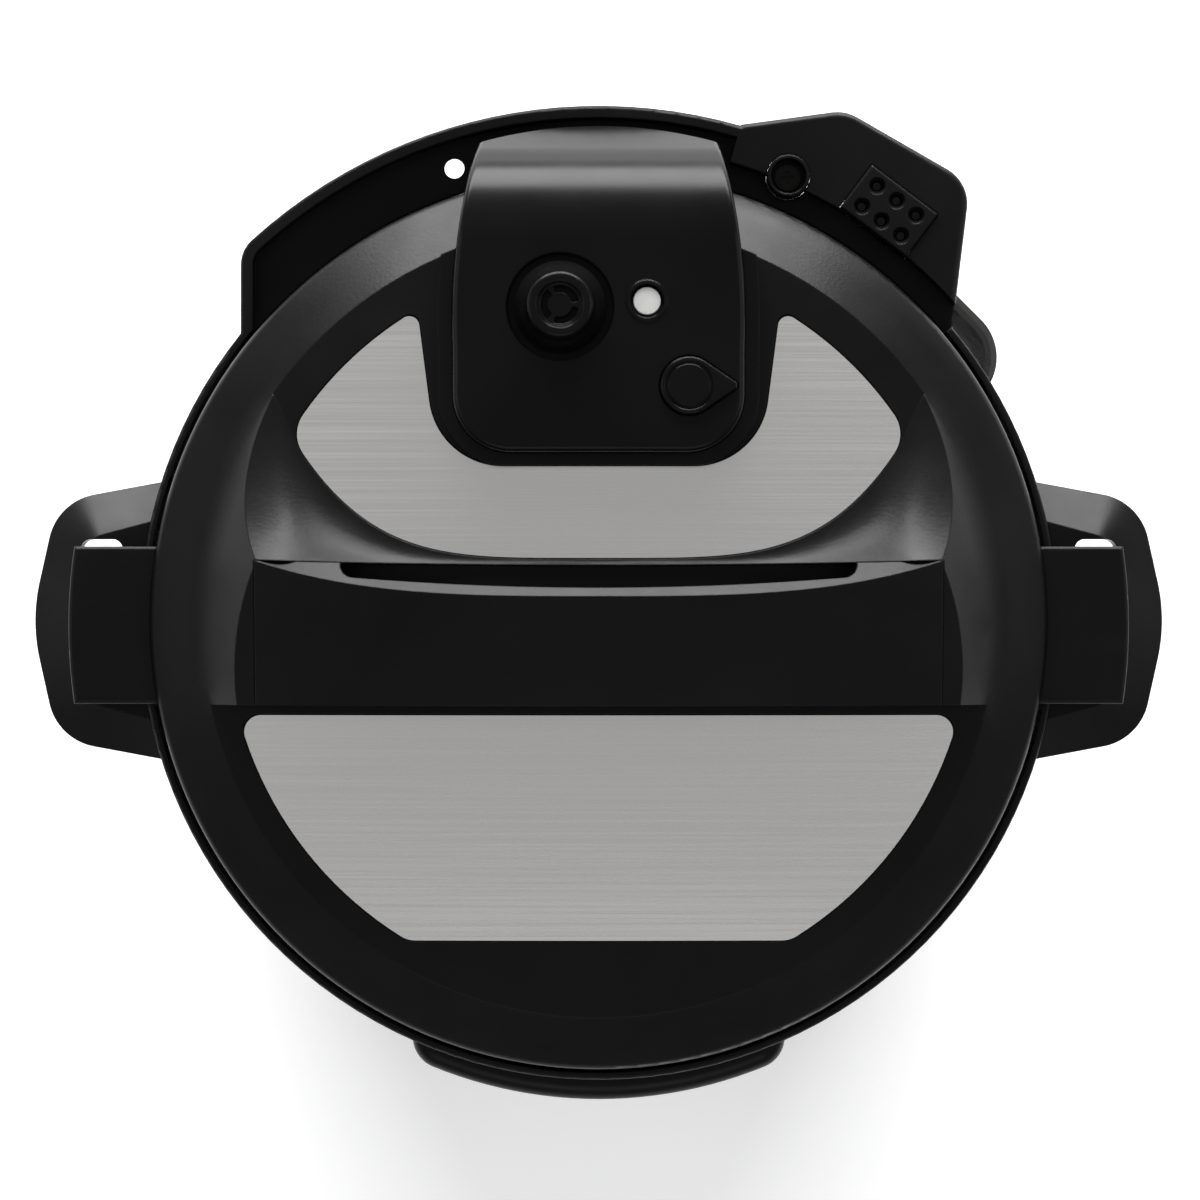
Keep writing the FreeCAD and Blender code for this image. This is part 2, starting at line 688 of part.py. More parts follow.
def control_fascia():
    plate = front_block(FASCIA_BORDER + 0.2, FASCIA_BACK, FASCIA_FRONT)
    plate = plate.cut(window_block(2.0, FASCIA_BACK - 1, FASCIA_FRONT + 1))
    plate = plate.cut(window_block(0, FASCIA_FRONT - WINDOW_THICK, FASCIA_FRONT + 1))
    for _, turn, height in button_places():
        plate = plate.cut(button_block(turn, height, RUN_GAP, FASCIA_BACK - 1, FASCIA_FRONT + 1))
    return plate


def display_window():
    return window_block(0.15, FASCIA_FRONT - WINDOW_THICK, FASCIA_FRONT)


def lcd_module():
    middle = PANEL_MIDDLE + WINDOW_RISE
    half = WINDOW_WIDTH / 2 - 6
    tall = WINDOW_HEIGHT / 2 - 4
    front = BOARD_FRONT - CONTROL_BOARD_DEPTH / 2
    return block((-half, front, middle - tall), (half, BOARD_FRONT, middle + tall))


def control_board():
    half = HOUSING_HALF - HOUSING_WALL - 0.5
    rise = HOUSING_WALL + 0.5
    back = BOARD_FRONT + BOARD_THICK
    return block((-half, BOARD_FRONT, HOUSING_Z0 + rise), (half, back, HOUSING_Z1 - rise))


def touch_switches():
    """One small switch on the control board behind each button."""
    switches = []
    for _, turn, height in button_places():
        x = math.sin(math.radians(turn)) * (HOUSING_Y - BOARD_FRONT) / math.cos(math.radians(turn))
        half = SWITCH_SIZE / 2
        switches.append(block((x - half, BOARD_FRONT - SWITCH_HEIGHT, height - half),
                              (x + half, BOARD_FRONT, height + half)))
    return group(switches)


# Inside of the base

def inner_shell():
    low = SHELL_BOTTOM
    inner = SHELL_RADIUS - SHELL_WALL
    shell = turned([
        (0, low), (SHELL_RADIUS, low), (SHELL_RADIUS, SEAT), (RING_OUTER, SEAT), (RING_OUTER, FLANGE_TOP),
        (inner, FLANGE_TOP), (inner, low + SHELL_WALL), (0, low + SHELL_WALL)])
    return shell.cut(rod(SENSOR_STEM + RUN_GAP, low - 1, low + 2 * SHELL_WALL))


def lock_ring():
    ring = tube(RING_OUTER, RING_INNER, FLANGE_TOP, RING_TOP)
    lug = tube(LUG_RADIUS, RING_OUTER - 1, FLANGE_TOP, RING_TOP).common(
        wedge(-LUG_ANGLE / 2, LUG_ANGLE / 2, FLANGE_TOP, RING_TOP))
    turn = 360 / LUG_COUNT
    return ring.fuse([spun(lug, turn * i) for i in range(LUG_COUNT)]).removeSplitter()


def heating_plate():
    low = PLATE_TOP - PLATE_THICK
    plate = softened(rod(PLATE_RADIUS, low, PLATE_TOP), 3.0, lambda edge: level(edge, PLATE_TOP))
    leg = rod(LEG_RADIUS, SHELL_BOTTOM + SHELL_WALL, low + 1, (PLATE_RADIUS + ELEMENT_RADIUS) / 2)
    plate = plate.fuse([spun(leg, azimuth) for azimuth in (90, 210, 330)])
    return plate.cut(rod(SENSOR_RADIUS + RUN_GAP, 0, TALL)).removeSplitter()


def heating_element():
    height = PLATE_TOP - PLATE_THICK - ELEMENT_TUBE - SEAT_GAP
    return Part.makeTorus(ELEMENT_RADIUS, ELEMENT_TUBE, Vector(0, 0, height))


def sensor_button():
    head_low = PLATE_TOP - SENSOR_HEAD
    head = softened(rod(SENSOR_RADIUS, head_low, PLATE_TOP), 1.0, lambda edge: level(edge, PLATE_TOP))
    return head.fuse(rod(SENSOR_STEM, SHELL_BOTTOM - 4, head_low)).removeSplitter()


def sensor_spring():
    return tube(SPRING_RADIUS, SPRING_RADIUS - 2, SHELL_BOTTOM + SHELL_WALL, PLATE_TOP - SENSOR_HEAD)


def pressure_switch():
    return block((30, -8, SHELL_BOTTOM - 12), (56, 8, SHELL_BOTTOM)).fuse(
        rod(4, SHELL_BOTTOM - 18, SHELL_BOTTOM - 12, 43, 0))


def power_board():
    low = PAN_FLOOR + STANDOFF
    half_x, half_y = POWER_BOARD[0] / 2, POWER_BOARD[1] / 2
    board = block((-half_x, -half_y, low), (half_x, half_y, low + BOARD_THICK))
    return board.cut([rod(SCREW_RADIUS + SEAT_GAP, 0, TALL, x, y) for x, y in board_corners()])


def board_parts():
    """Transformer, relay, capacitors and terminal block on the power board."""
    low = PAN_FLOOR + STANDOFF + BOARD_THICK
    half_x, half_y = POWER_BOARD[0] / 2, POWER_BOARD[1] / 2
    return group([
        block((-half_x + 14, -half_y + 8, low), (-half_x + 44, -half_y + 34, low + 22)),
        block((half_x - 34, -half_y + 10, low), (half_x - 14, -half_y + 24, low + 16)),
        rod(6, low, low + 20, half_x - 24, half_y - 16),
        rod(5, low, low + 15, half_x - 42, half_y - 16),
        block((-half_x + 12, half_y - 18, low), (half_x - 58, half_y - 6, low + 12))])


def board_screws():
    low = PAN_FLOOR + STANDOFF
    head = low + BOARD_THICK
    screw = rod(SCREW_RADIUS, PAN_FLOOR + 1, head)
    screw = screw.fuse(rod(2 * SCREW_RADIUS, head, head + 2)).removeSplitter()
    screws = []
    for x, y in board_corners():
        copy = screw.copy()
        copy.translate(Vector(x, y, 0))
        screws.append(copy)
    return group(screws)


def inlet_mouth():
    return inlet_block(-INLET_WALL, INLET_DEPTH - INLET_WALL)


def mains_inlet():
    return inlet_block(0, INLET_DEPTH).common(rod(BODY_RADIUS + PAN_STEP, 0, LEDGE)).cut(inlet_mouth())


def inlet_pins():
    """Three blades on the floor of the inlet's mouth."""
    back = BODY_RADIUS + PAN_STEP - INLET_DEPTH + INLET_WALL
    middle = (FOOT_HEIGHT + LEDGE) / 2
    pins = []
    for x, rise in ((-7, -2), (0, 2), (7, -2)):
        tip = back + INLET_DEPTH * 0.6
        pins.append(block((x - 1, back, middle + rise - 2), (x + 1, tip, middle + rise + 2)))
    return group(pins)


# Accessory socket, locator, condensation collector

def contact_places():
    middle_x, middle_y = socket_place()
    angle = math.radians(SOCKET_TURN)
    places = []
    for column in (-1, 0, 1):
        for row in (-0.5, 0.5):
            along = column * CONTACT_PITCH[0]
            across = row * CONTACT_PITCH[1]
            places.append((middle_x + along * math.cos(angle) - across * math.sin(angle),
                           middle_y + along * math.sin(angle) + across * math.cos(angle)))
    return places


def accessory_socket():
    top = RIM_TOP + SOCKET_PROUD
    low = RIM_TOP - SOCKET_DEPTH
    ledge = RIM_TOP - SHELF_THICK - SEAT_GAP
    neck = socket_block(SOCKET_LENGTH, SOCKET_WIDTH, low, top)
    neck = softened(neck, 0.8, lambda edge: level(edge, top))
    foot = socket_block(SOCKET_LENGTH + 3, SOCKET_WIDTH + 3, low, ledge)
    foot = foot.cut(rod(LIP_RADIUS + LOBE_GROOVE + SHELF_THICK + RUN_GAP, 0, TALL))
    body = neck.fuse(foot).removeSplitter()
    mouth = 2 * CONTACT_RADIUS + 0.2
    for x, y in contact_places():
        body = body.cut(rod(CONTACT_RADIUS + 0.4, low + 4, top, x, y))
        body = body.cut(Part.makeCone(CONTACT_RADIUS + 0.4, mouth, 1.6, Vector(x, y, top - 1.6)))
    return body


def socket_contacts():
    low = RIM_TOP - SOCKET_DEPTH + 4
    return group([rod(CONTACT_RADIUS, low, RIM_TOP - 2, x, y) for x, y in contact_places()])


def locator_ring():
    x, y = locator_place()
    low = RIM_TOP - LOCATOR_DEPTH
    top = RIM_TOP + 0.8
    ring = softened(rod(LOCATOR_RADIUS, low, top, x, y), 0.5, lambda edge: level(edge, top))
    return ring.cut(rod(LOCATOR_BORE, low + 2, TALL, x, y)).cut(rod(SCREW_RADIUS, 0, TALL, x, y))


def locator_screw():
    x, y = locator_place()
    low = RIM_TOP - LOCATOR_DEPTH
    screw = rod(2.6 * SCREW_RADIUS, low + 2, low + 4, x, y).fuse(rod(SCREW_RADIUS, low - 6, low + 2, x, y))
    screw = screw.removeSplitter()
    cross = block((x - 2, y - 0.5, low + 3), (x + 2, y + 0.5, low + 5))
    return screw.cut(cross).cut(spun(cross, 90, x, y))


COLLECTOR_TOP = BODY_TOP - COLLECTOR_DROP
COLLECTOR_LOW = COLLECTOR_TOP - COLLECTOR_HEIGHT
COLLECTOR_IN = BODY_RADIUS + BRACKET_WALL + SEAT_GAP + 0.5
PEG_Z = COLLECTOR_TOP - 11.0


def collector_pegs(radius, length):
    return [Part.makeCylinder(radius, length, Vector(BODY_RADIUS - 1, side * PEG_SPREAD, PEG_Z),
                              Vector(1, 0, 0))
            for side in (-1, 1)]


def collector_bracket():
    inner = BODY_RADIUS + SEAT_GAP
    plate = tube(inner + BRACKET_WALL, inner, COLLECTOR_LOW + 3, COLLECTOR_TOP - 3).common(
        wedge(-BRACKET_ANGLE / 2, BRACKET_ANGLE / 2, COLLECTOR_LOW, COLLECTOR_TOP))
    pegs = [peg.cut(rod(inner + 0.5, 0, TALL)) for peg in collector_pegs(PEG_RADIUS, 8.0)]
    return spun(plate.fuse(pegs).removeSplitter(), COLLECTOR_AZIMUTH)


def collector_plan(inset):
    low = COLLECTOR_IN + inset
    high = COLLECTOR_IN + COLLECTOR_DEPTH - inset
    half = COLLECTOR_HALF - inset
    corner = COLLECTOR_CORNER - inset
    return [(low, -half, 2.5 - inset), (high, -half, corner), (high, half, corner),
            (low, half, 2.5 - inset)]


def condensation_collector():
    cup = prism(collector_plan(0), COLLECTOR_LOW, COLLECTOR_TOP)
    cup = softened(cup, 3.0, lambda edge: level(edge, COLLECTOR_LOW))
    cup = cup.cut(prism(collector_plan(COLLECTOR_WALL), COLLECTOR_LOW + COLLECTOR_WALL, TALL))
    lip = prism(collector_plan(-1.5), COLLECTOR_TOP - 5, COLLECTOR_TOP)
    lip = lip.cut(prism(collector_plan(COLLECTOR_WALL), 0, TALL))
    lip = lip.cut(block((0, -TALL, 0), (COLLECTOR_IN, TALL, TALL)))
    cup = cup.fuse(lip).removeSplitter().cut(collector_pegs(PEG_RADIUS + RUN_GAP, 8.5))
    return spun(cup, COLLECTOR_AZIMUTH)


# Pot and seal

def inner_pot():
    outer = POT_RADIUS + POT_WALL
    flange = outer + POT_FLANGE
    top = POT_RIM + POT_WALL
    return turned([
        (0, POT_BOTTOM), (outer, POT_BOTTOM, POT_CORNER), (outer, POT_RIM), (flange, POT_RIM), (flange, top),
        (POT_RADIUS, top), (POT_RADIUS, POT_BOTTOM + POT_WALL, POT_CORNER - POT_WALL),
        (0, POT_BOTTOM + POT_WALL)])


def sealing_ring():
    outer = POT_RADIUS + POT_WALL + POT_FLANGE
    waist = (SEAL_LOW + SEAL_TOP) / 2
    return turned([
        (SEAL_INNER, SEAL_LOW, 0.8), (outer, SEAL_LOW, 0.8), (outer, SEAL_TOP, 0.8),
        (SEAL_INNER, SEAL_TOP, 0.8),
        (SEAL_INNER, waist + 1.5), (SEAL_INNER + 2.5, waist + 1.0), (SEAL_INNER + 2.5, waist - 1.0),
        (SEAL_INNER, waist - 1.5)])


# Lid: cover, panels, dome

def dome_height(radius):
    """Height of the cover's domed top at a radius."""
    return COVER_TOP - DOME_RADIUS + math.sqrt(DOME_RADIUS ** 2 - radius ** 2)


def dome_ball(sink):
    return Part.makeSphere(DOME_RADIUS - sink, Vector(0, 0, COVER_TOP - DOME_RADIUS))


def rear_edge(x):
    """Front edge of the rear panel: flat in the middle, swept back at the sides."""
    return REAR_EDGE + REAR_EDGE_RISE * (abs(x) / REAR_EDGE_SPAN) ** REAR_EDGE_POWER


def sloped_drum(radius, corner, low, soft):
    """Drum whose top edge is cut by the slope of the lid's band, up past the dome."""
    run = 2 * BAND_WIDTH
    high = corner + 2 * (BAND_HIGH - BAND_LOW)
    return turned([(0, low), (radius, low), (radius, corner, soft), (radius - run, high), (0, high)])


def cover_envelope(grow):
    """Outer form of the lid cover, down to its lower edge."""
    corner = RIM_TOP + BAND_LOW + grow / 2
    return sloped_drum(LID_RADIUS + grow, corner, COVER_LOW, 4.0).common(dome_ball(-grow))


def cover_inside():
    corner = RIM_TOP + BAND_LOW - COVER_WALL / 2
    return sloped_drum(LID_RADIUS - COVER_WALL, corner, COVER_LOW - 1, 3.0).common(dome_ball(COVER_WALL))


def panel_shape(plan):
    return plan.common(dome_ball(PANEL_SINK)).cut(dome_ball(PANEL_SINK + PANEL_THICK))


def front_panel_plan(grow):
    far = FRONT_PANEL_FAR + grow
    near = FRONT_PANEL_NEAR - grow
    disc = rod(FRONT_PANEL_RADIUS + grow, RIM_TOP, GRIP_TOP)
    plan = disc.common(block((-TALL, -far, 0), (TALL, -near, TALL)))
    near_x = math.sqrt((FRONT_PANEL_RADIUS + grow) ** 2 - near ** 2)
    far_x = math.sqrt((FRONT_PANEL_RADIUS + grow) ** 2 - far ** 2)
    plan = softened(plan, 5.0, lambda edge: upright_at(edge, near_x, -near)
                    or upright_at(edge, -near_x, -near))
    return softened(plan, 8.0, lambda edge: upright_at(edge, far_x, -far) or upright_at(edge, -far_x, -far))


def edge_curve(shift):
    """Wire of the region in front of the rear panel, moved by shift towards the rear."""
    across = [REAR_EDGE_SPAN * 1.15 * i / 8 for i in range(-8, 9)]
    curve = Part.BSplineCurve()
    curve.interpolate([Vector(x, rear_edge(x) + shift, 0) for x in across])
    ends = curve.toShape().Vertexes
    left, right = ends[0].Point, ends[-1].Point
    corners = [right, Vector(2 * LID_RADIUS, right.y, 0), Vector(2 * LID_RADIUS, -LID_RADIUS, 0),
               Vector(-2 * LID_RADIUS, -LID_RADIUS, 0), Vector(-2 * LID_RADIUS, left.y, 0), left]
    return Part.Wire([curve.toShape()] + Part.makePolygon(corners).Edges)


def rear_panel_plan(grow):
    disc = rod(REAR_PANEL_RADIUS + grow, RIM_TOP, GRIP_TOP)
    face = Part.Face(edge_curve(-grow))
    plan = disc.cut(face.extrude(UP * TALL))
    half = NOTCH_HALF - grow
    corner = 22.0
    far = 2 * NOTCH_FRONT
    taper = NOTCH_TAPER
    front = NOTCH_FRONT + grow
    plan = plan.cut(prism([(-half, front, corner), (half, front, corner), (half + taper, far),
                           (half + 3 * taper, 3 * far), (-half - 3 * taper, 3 * far),
                           (-half - taper, far)], 0, TALL))
    sharp = [edge for edge in plan.Edges if edge.BoundBox.ZLength > 1 and edge.BoundBox.XLength < 0.1
             and edge.BoundBox.YLength < 0.1]
    rim = REAR_PANEL_RADIUS + grow
    corners = [edge for edge in sharp if abs(math.hypot(*edge.BoundBox.Center[:2]) - rim) < 0.05]
    tips = [edge.BoundBox.Center for edge in corners if edge.BoundBox.Center.y > 0.75 * REAR_PANEL_RADIUS]
    plan = plan.makeFillet(10.0, [edge for edge in corners if edge.BoundBox.Center not in tips])
    return softened(plan, 3.0, lambda edge: any(upright_at(edge, tip.x, tip.y, 0.5) for tip in tips))


def arch(x):
    return GRIP_TOP - ARCH_RADIUS + math.sqrt(ARCH_RADIUS ** 2 - x ** 2)


def seam(x):
    return SEAM + SEAM_SWEEP * (abs(x) / GRIP_HALF) ** 2


def crest(x):
    """Top edge of the handle, swept back towards its ends."""
    return CREST + CREST_SWEEP * (min(abs(x), GRIP_HALF) / GRIP_HALF) ** CREST_POWER


def grip_foot(x):
    """Height of the handle's rear slope at the seam."""
    return arch(x) - GRIP_SLOPE * max(seam(x) - crest(x), 0) - 0.4


def shoulder_height(x):
    """Top of the ridge behind the handle, from a low lip in the middle up to the handle's ends."""
    lip = SHOULDER_LIP + SHOULDER_RISE * (abs(x) / SHOULDER_SPAN) ** SHOULDER_POWER
    return min(dome_height(math.hypot(x, seam(x))) + lip, grip_foot(x))


def section(x, corners):
    """Closed wire in a plane across X from (y, z) corners; the run after the third is a hollow arc."""
    points = [Vector(x, y, z) for y, z in corners]
    top, foot = points[2], points[3]
    middle = Vector(x, top.y * 0.6 + foot.y * 0.4, top.z * 0.42 + foot.z * 0.58)
    edges = [Part.LineSegment(points[i], points[i + 1]).toShape() for i in (0, 1)]
    edges.append(Part.Arc(top, middle, foot).toShape())
    edges += [Part.LineSegment(points[i], points[(i + 1) % 5]).toShape() for i in (3, 4)]
    return Part.Wire(edges)


def side_cone():
    """Sloping sides that the handle's ends and the shoulders run out to."""
    low = dome_height(BAND_RADIUS) - 6
    slope = SIDE_RUN / SIDE_RISE
    high = GRIP_TOP + 5
    return turned([(0, low), (BAND_RADIUS + 6 * slope, low),
                   (BAND_RADIUS + (low + 6 - high) * slope, high), (0, high)])


def saddle():
    """Raised body across the lid: the handle's ends and the hollow shoulders behind it."""
    wires = []
    for share in (-1, -0.93, -0.86, -0.75, -0.65, -0.5, -0.25, 0, 0.25, 0.5, 0.65, 0.75, 0.86, 0.93, 1):
        x = share * BAND_RADIUS
        back = min(rear_edge(x), 2 * REAR_EDGE_RISE)
        low = dome_height(min(math.hypot(x, back), BAND_RADIUS)) - 1.5
        foot = low + 1.6
        top = max(shoulder_height(x), foot + 0.8)
        front = max(top - GRIP_TILT * (GRIP_FRONT + seam(x)), low + 0.8)
        wires.append(section(x, [(-GRIP_FRONT, low), (-GRIP_FRONT, front), (seam(x), top),
                                 (back, foot), (back, low)]))
    return outward(Part.makeLoft(wires, True, False)).common(side_cone())


def grip_plan(gap):
    """Plan of the handle between its seams."""
    half = GRIP_HALF + gap
    end = seam(GRIP_HALF) + gap
    return [(-half, -2 * GRIP_FRONT), (half, -2 * GRIP_FRONT), (half, end),
            (-half, end, (0, seam(0) + gap))]


def module_plan(grow):
    half = MODULE_HALF + grow
    corner = MODULE_CORNER + grow
    rear = MODULE_REAR_HALF + grow
    side_y = MODULE_REAR - MODULE_CROWN
    front = MODULE_FRONT - grow
    bend_y = MODULE_FRONT + MODULE_STRAIGHT
    waist_x = half * 0.8 + rear * 0.2
    waist_y = 0.45 * bend_y + 0.55 * side_y
    return [(-half, bend_y, (-waist_x, waist_y)), (-half, front, corner), (half, front, corner),
            (half, bend_y), (rear, side_y, (waist_x, waist_y)), (-rear, side_y, (0, MODULE_REAR + grow))]


def lid_cover():
    wall = COVER_WALL
    inside_top = COVER_TOP - wall
    cover = cover_envelope(0).cut(cover_inside())
    cover = cover.fuse(saddle().cut(prism(grip_plan(SEAT_GAP), 0, TALL)))
    frame = prism(module_plan(SURROUND), RIM_TOP + BAND_HIGH - 4, RIM_TOP + SURROUND_TOP)
    frame = frame.common(rod(BAND_RADIUS, 0, TALL)).cut(cover_envelope(-wall / 2))
    cover = cover.fuse(frame)
    cover = cover.cut(prism(module_plan(SEAT_GAP), cover_step(), TALL))
    cover = cover.cut(prism(module_plan(-MODULE_WALL - 4), 0, TALL).common(
        block((-TALL, 0, 0), (TALL, BAND_RADIUS - 8, TALL))))
    for plan in (front_panel_plan(RUN_GAP), rear_panel_plan(RUN_GAP)):
        cover = cover.cut(plan.cut(dome_ball(PANEL_SINK + PANEL_THICK)))
    bosses = group([rod(3 * SCREW_RADIUS, DOME_FLAT, inside_top, x, y) for x, y in lid_screw_places()])
    bosses = bosses.common(cover_envelope(-wall / 2)).cut(dome_envelope(SEAT_GAP))
    cover = cover.fuse(bosses.Solids)
    holes = [rod(SCREW_RADIUS + 0.05, 0, RIM_TOP + BAND_HIGH, x, y) for x, y in lid_screw_places()]
    return cover.cut(holes).removeSplitter()


def cover_step():
    """Level that the cover is flattened to under the steam module."""
    return RIM_TOP + BAND_HIGH + DOME_RISE - 5.5


def cap_drop(radius):
    """Fall of the steel dome's cap from its centre to a radius."""
    ball = (DOME_CAP ** 2 + CAP_FALL ** 2) / (2 * CAP_FALL)
    return ball - math.sqrt(ball ** 2 - radius ** 2)


def dome_profile(sink):
    """Outer face of the steel dome, or its inner face when sunk by the wall."""
    flat = DOME_FLAT + STEEL_WALL - sink
    cap = DOME_CENTRE + STEEL_WALL - sink
    edge = DOME_CAP - sink / 2
    through = (edge / 2, cap - cap_drop(edge / 2))
    return [(0, cap), (edge, cap - cap_drop(edge), through), (DOME_SEAT - sink / 2, flat, 3.0),
            (SKIRT_RADIUS - sink, flat, 5.0 - sink), (SKIRT_RADIUS - sink, GROOVE_FLOOR + 1.5)]


def dome_envelope(grow):
    return turned(dome_profile(-grow) + [(0, GROOVE_FLOOR + 1.5)])


def dome_inside():
    return turned(dome_profile(STEEL_WALL) + [(0, GROOVE_FLOOR + 1.5)])


def lid_dome():
    dome = turned(dome_profile(0) + list(reversed_profile(dome_profile(STEEL_WALL))))
    lug_low = GROOVE_FLOOR + 1.5
    lug_in = LUG_RADIUS + 0.5
    lug = tube(SKIRT_RADIUS - 0.2, lug_in, lug_low, lug_low + 2.5).common(
        wedge(-LUG_ANGLE / 2, LUG_ANGLE / 2, lug_low, lug_low + 2.5))
    turn = 360 / LUG_COUNT
    dome = dome.fuse([spun(lug, turn * (i + 0.5)) for i in range(LUG_COUNT)])
    dome = dome.cut([rod(PIPE_RADIUS + 0.05, 0, TALL, VALVE_X, VALVE_Y),
                     rod(FLOAT_PIN + 0.4, 0, TALL, FLOAT_X, FLOAT_Y)])
    holes = [rod(SCREW_RADIUS + SEAT_GAP, 0, TALL, x, y) for x, y in lid_screw_places()]
    return dome.cut(holes).removeSplitter()


def reversed_profile(steps):
    """The inner profile run back to the axis, with its arc ending at the axis."""
    cap = steps[1]
    return [(steps[4][0], steps[4][1]), steps[3], steps[2], (cap[0], cap[1]),
            (steps[0][0], steps[0][1], cap[2])]


def lid_screw_places():
    return [polar(70, azimuth) for azimuth in (25, 155, 225, 315)]


def dome_drop(radius):
    """Height of the dome's inner face at a radius under its cap."""
    return DOME_CENTRE - cap_drop(radius)


def lid_screws():
    screws = []
    for x, y in lid_screw_places():
        under = dome_drop(math.hypot(x, y)) - 0.5
        screw = rod(SCREW_RADIUS, under - 0.5, RIM_TOP + BAND_HIGH - 2, x, y)
        screws.append(screw.fuse(rod(2 * SCREW_RADIUS, under - 2, under - 0.5, x, y)).removeSplitter())
    return group(screws)


def seal_rack():
    radius = SEAL_INNER - RACK_WIRE - 1.5
    height = (SEAL_LOW + SEAL_TOP) / 2
    post = rod(RACK_WIRE * 0.8, height, TALL, radius)
    ring = Part.makeTorus(radius, RACK_WIRE, Vector(0, 0, height))
    posts = group([spun(post, 60 * i) for i in range(6)]).common(dome_inside())
    return ring.fuse(posts.Solids).removeSplitter()


# Arched handle and fins

def handle_grip():
    wires = []
    places = [GRIP_HALF * share for share in (-1, -0.88, -0.74, -0.5, -0.25, 0, 0.25, 0.5, 0.74, 0.88, 1)]
    for x in places:
        low = dome_height(math.hypot(x, GRIP_FRONT)) - 1
        front = arch(x) - GRIP_TILT * (crest(x) + GRIP_FRONT)
        foot_y = max(seam(x), crest(x) + 0.4)
        rear = grip_foot(x)
        corners = [(-GRIP_FRONT, low), (-GRIP_FRONT, front), (crest(x), arch(x)),
                   (foot_y, rear), (foot_y, low)]
        wires.append(Part.makePolygon([Vector(x, y, z) for y, z in corners + corners[:1]]))
    grip = Part.makeLoft(wires, True, False)
    under = Part.makeCylinder(ARCH_RADIUS - GRIP_WALL, TALL,
                              Vector(0, -TALL / 2, GRIP_TOP - ARCH_RADIUS), Vector(0, 1, 0))
    under.translate(Vector(0, 0, -3))
    back = SEAM - POCKET_DEPTH
    pocket = prism([(-POCKET_HALF, back, POCKET_CORNER), (POCKET_HALF, back, POCKET_CORNER),
                    (POCKET_HALF, SEAM + SLOT_REACH, 3.0), (-POCKET_HALF, SEAM + SLOT_REACH, 3.0)], 0, TALL)
    pocket = pocket.common(under)
    slot = prism([(-POCKET_HALF, SEAM + SLOT_REACH, 3.0), (-POCKET_HALF, slot_front(POCKET_HALF)),
                  (POCKET_HALF, slot_front(POCKET_HALF), (0, slot_front(0))),
                  (POCKET_HALF, SEAM + SLOT_REACH, 3.0)], 0, TALL)
    end_y = slot_front(POCKET_HALF)
    slot = softened(slot, SLOT_CORNER, lambda edge: upright_at(edge, POCKET_HALF, end_y, 0.5)
                    or upright_at(edge, -POCKET_HALF, end_y, 0.5))
    grip = grip.cut(pocket).cut(slot)
    return grip.cut(cover_envelope(SEAT_GAP)).common(prism(grip_plan(0), 0, TALL))


def slot_front(x):
    return CREST + SLOT_LIP + SLOT_SWEEP * (x / POCKET_HALF) ** 2


def right_fin():
    low = RIM_TOP + FIN_LIFT
    top = low + FIN_THICK
    outer = LID_RADIUS + FIN_REACH
    end_x = math.sqrt(outer ** 2 - FIN_HALF ** 2)
    fin = prism([(LID_RADIUS - 12, -FIN_HALF), (end_x, -FIN_HALF), (end_x, FIN_HALF, (outer, 0)),
                 (LID_RADIUS - 12, FIN_HALF)], low, top)
    fin = softened(fin, 1.2, lambda edge: level(edge, top) and edge.BoundBox.XMax > LID_RADIUS)
    fin.translate(Vector(0, -FIN_SHIFT, 0))
    return fin.cut(cover_envelope(0.05))


# Steam module and valves

def module_block(grow, top, low):
    """Module's outer form: plan outline under a top that rounds down at the rear."""
    bend = MODULE_REAR - 16
    rear = MODULE_REAR + 3
    front = MODULE_FRONT - 10
    side = sideways([(front, low), (front, top), (bend, top, 31.0), (rear, top - 41), (rear, low)],
                    -TALL, TALL)
    return prism(module_plan(grow), low, top + 1).common(side)


def teardrop(grow):
    """Outline of the quick-release button, a disc with a pointer to the right."""
    radius = RELEASE_RADIUS + grow
    point = RELEASE_POINT + grow
    lift = math.acos(radius / (point * 1.02))
    high = (RELEASE_X + radius * math.cos(lift), RELEASE_Y + radius * math.sin(lift))
    low = (high[0], 2 * RELEASE_Y - high[1])
    return [low, (RELEASE_X + point, RELEASE_Y - 0.8), (RELEASE_X + point, RELEASE_Y + 0.8), high,
            (*low, (RELEASE_X - radius, RELEASE_Y))][1:]


def rocker_angle():
    return math.degrees(math.atan2(RELEASE_Y - VALVE_Y, RELEASE_X - VALVE_X))


def rocker_arm():
    """Half length of the rocker, from its pivot to either end."""
    return (math.hypot(RELEASE_X - VALVE_X, RELEASE_Y - VALVE_Y) - ROCKER_REACH) / 2


def rocker_frame(shape):
    """Shape made along X about the pivot, put in its place."""
    angle = math.radians(rocker_angle())
    copy = shape.copy()
    copy.rotate(Vector(), UP, rocker_angle())
    copy.translate(Vector(RELEASE_X - rocker_arm() * math.cos(angle),
                          RELEASE_Y - rocker_arm() * math.sin(angle), 0))
    return copy


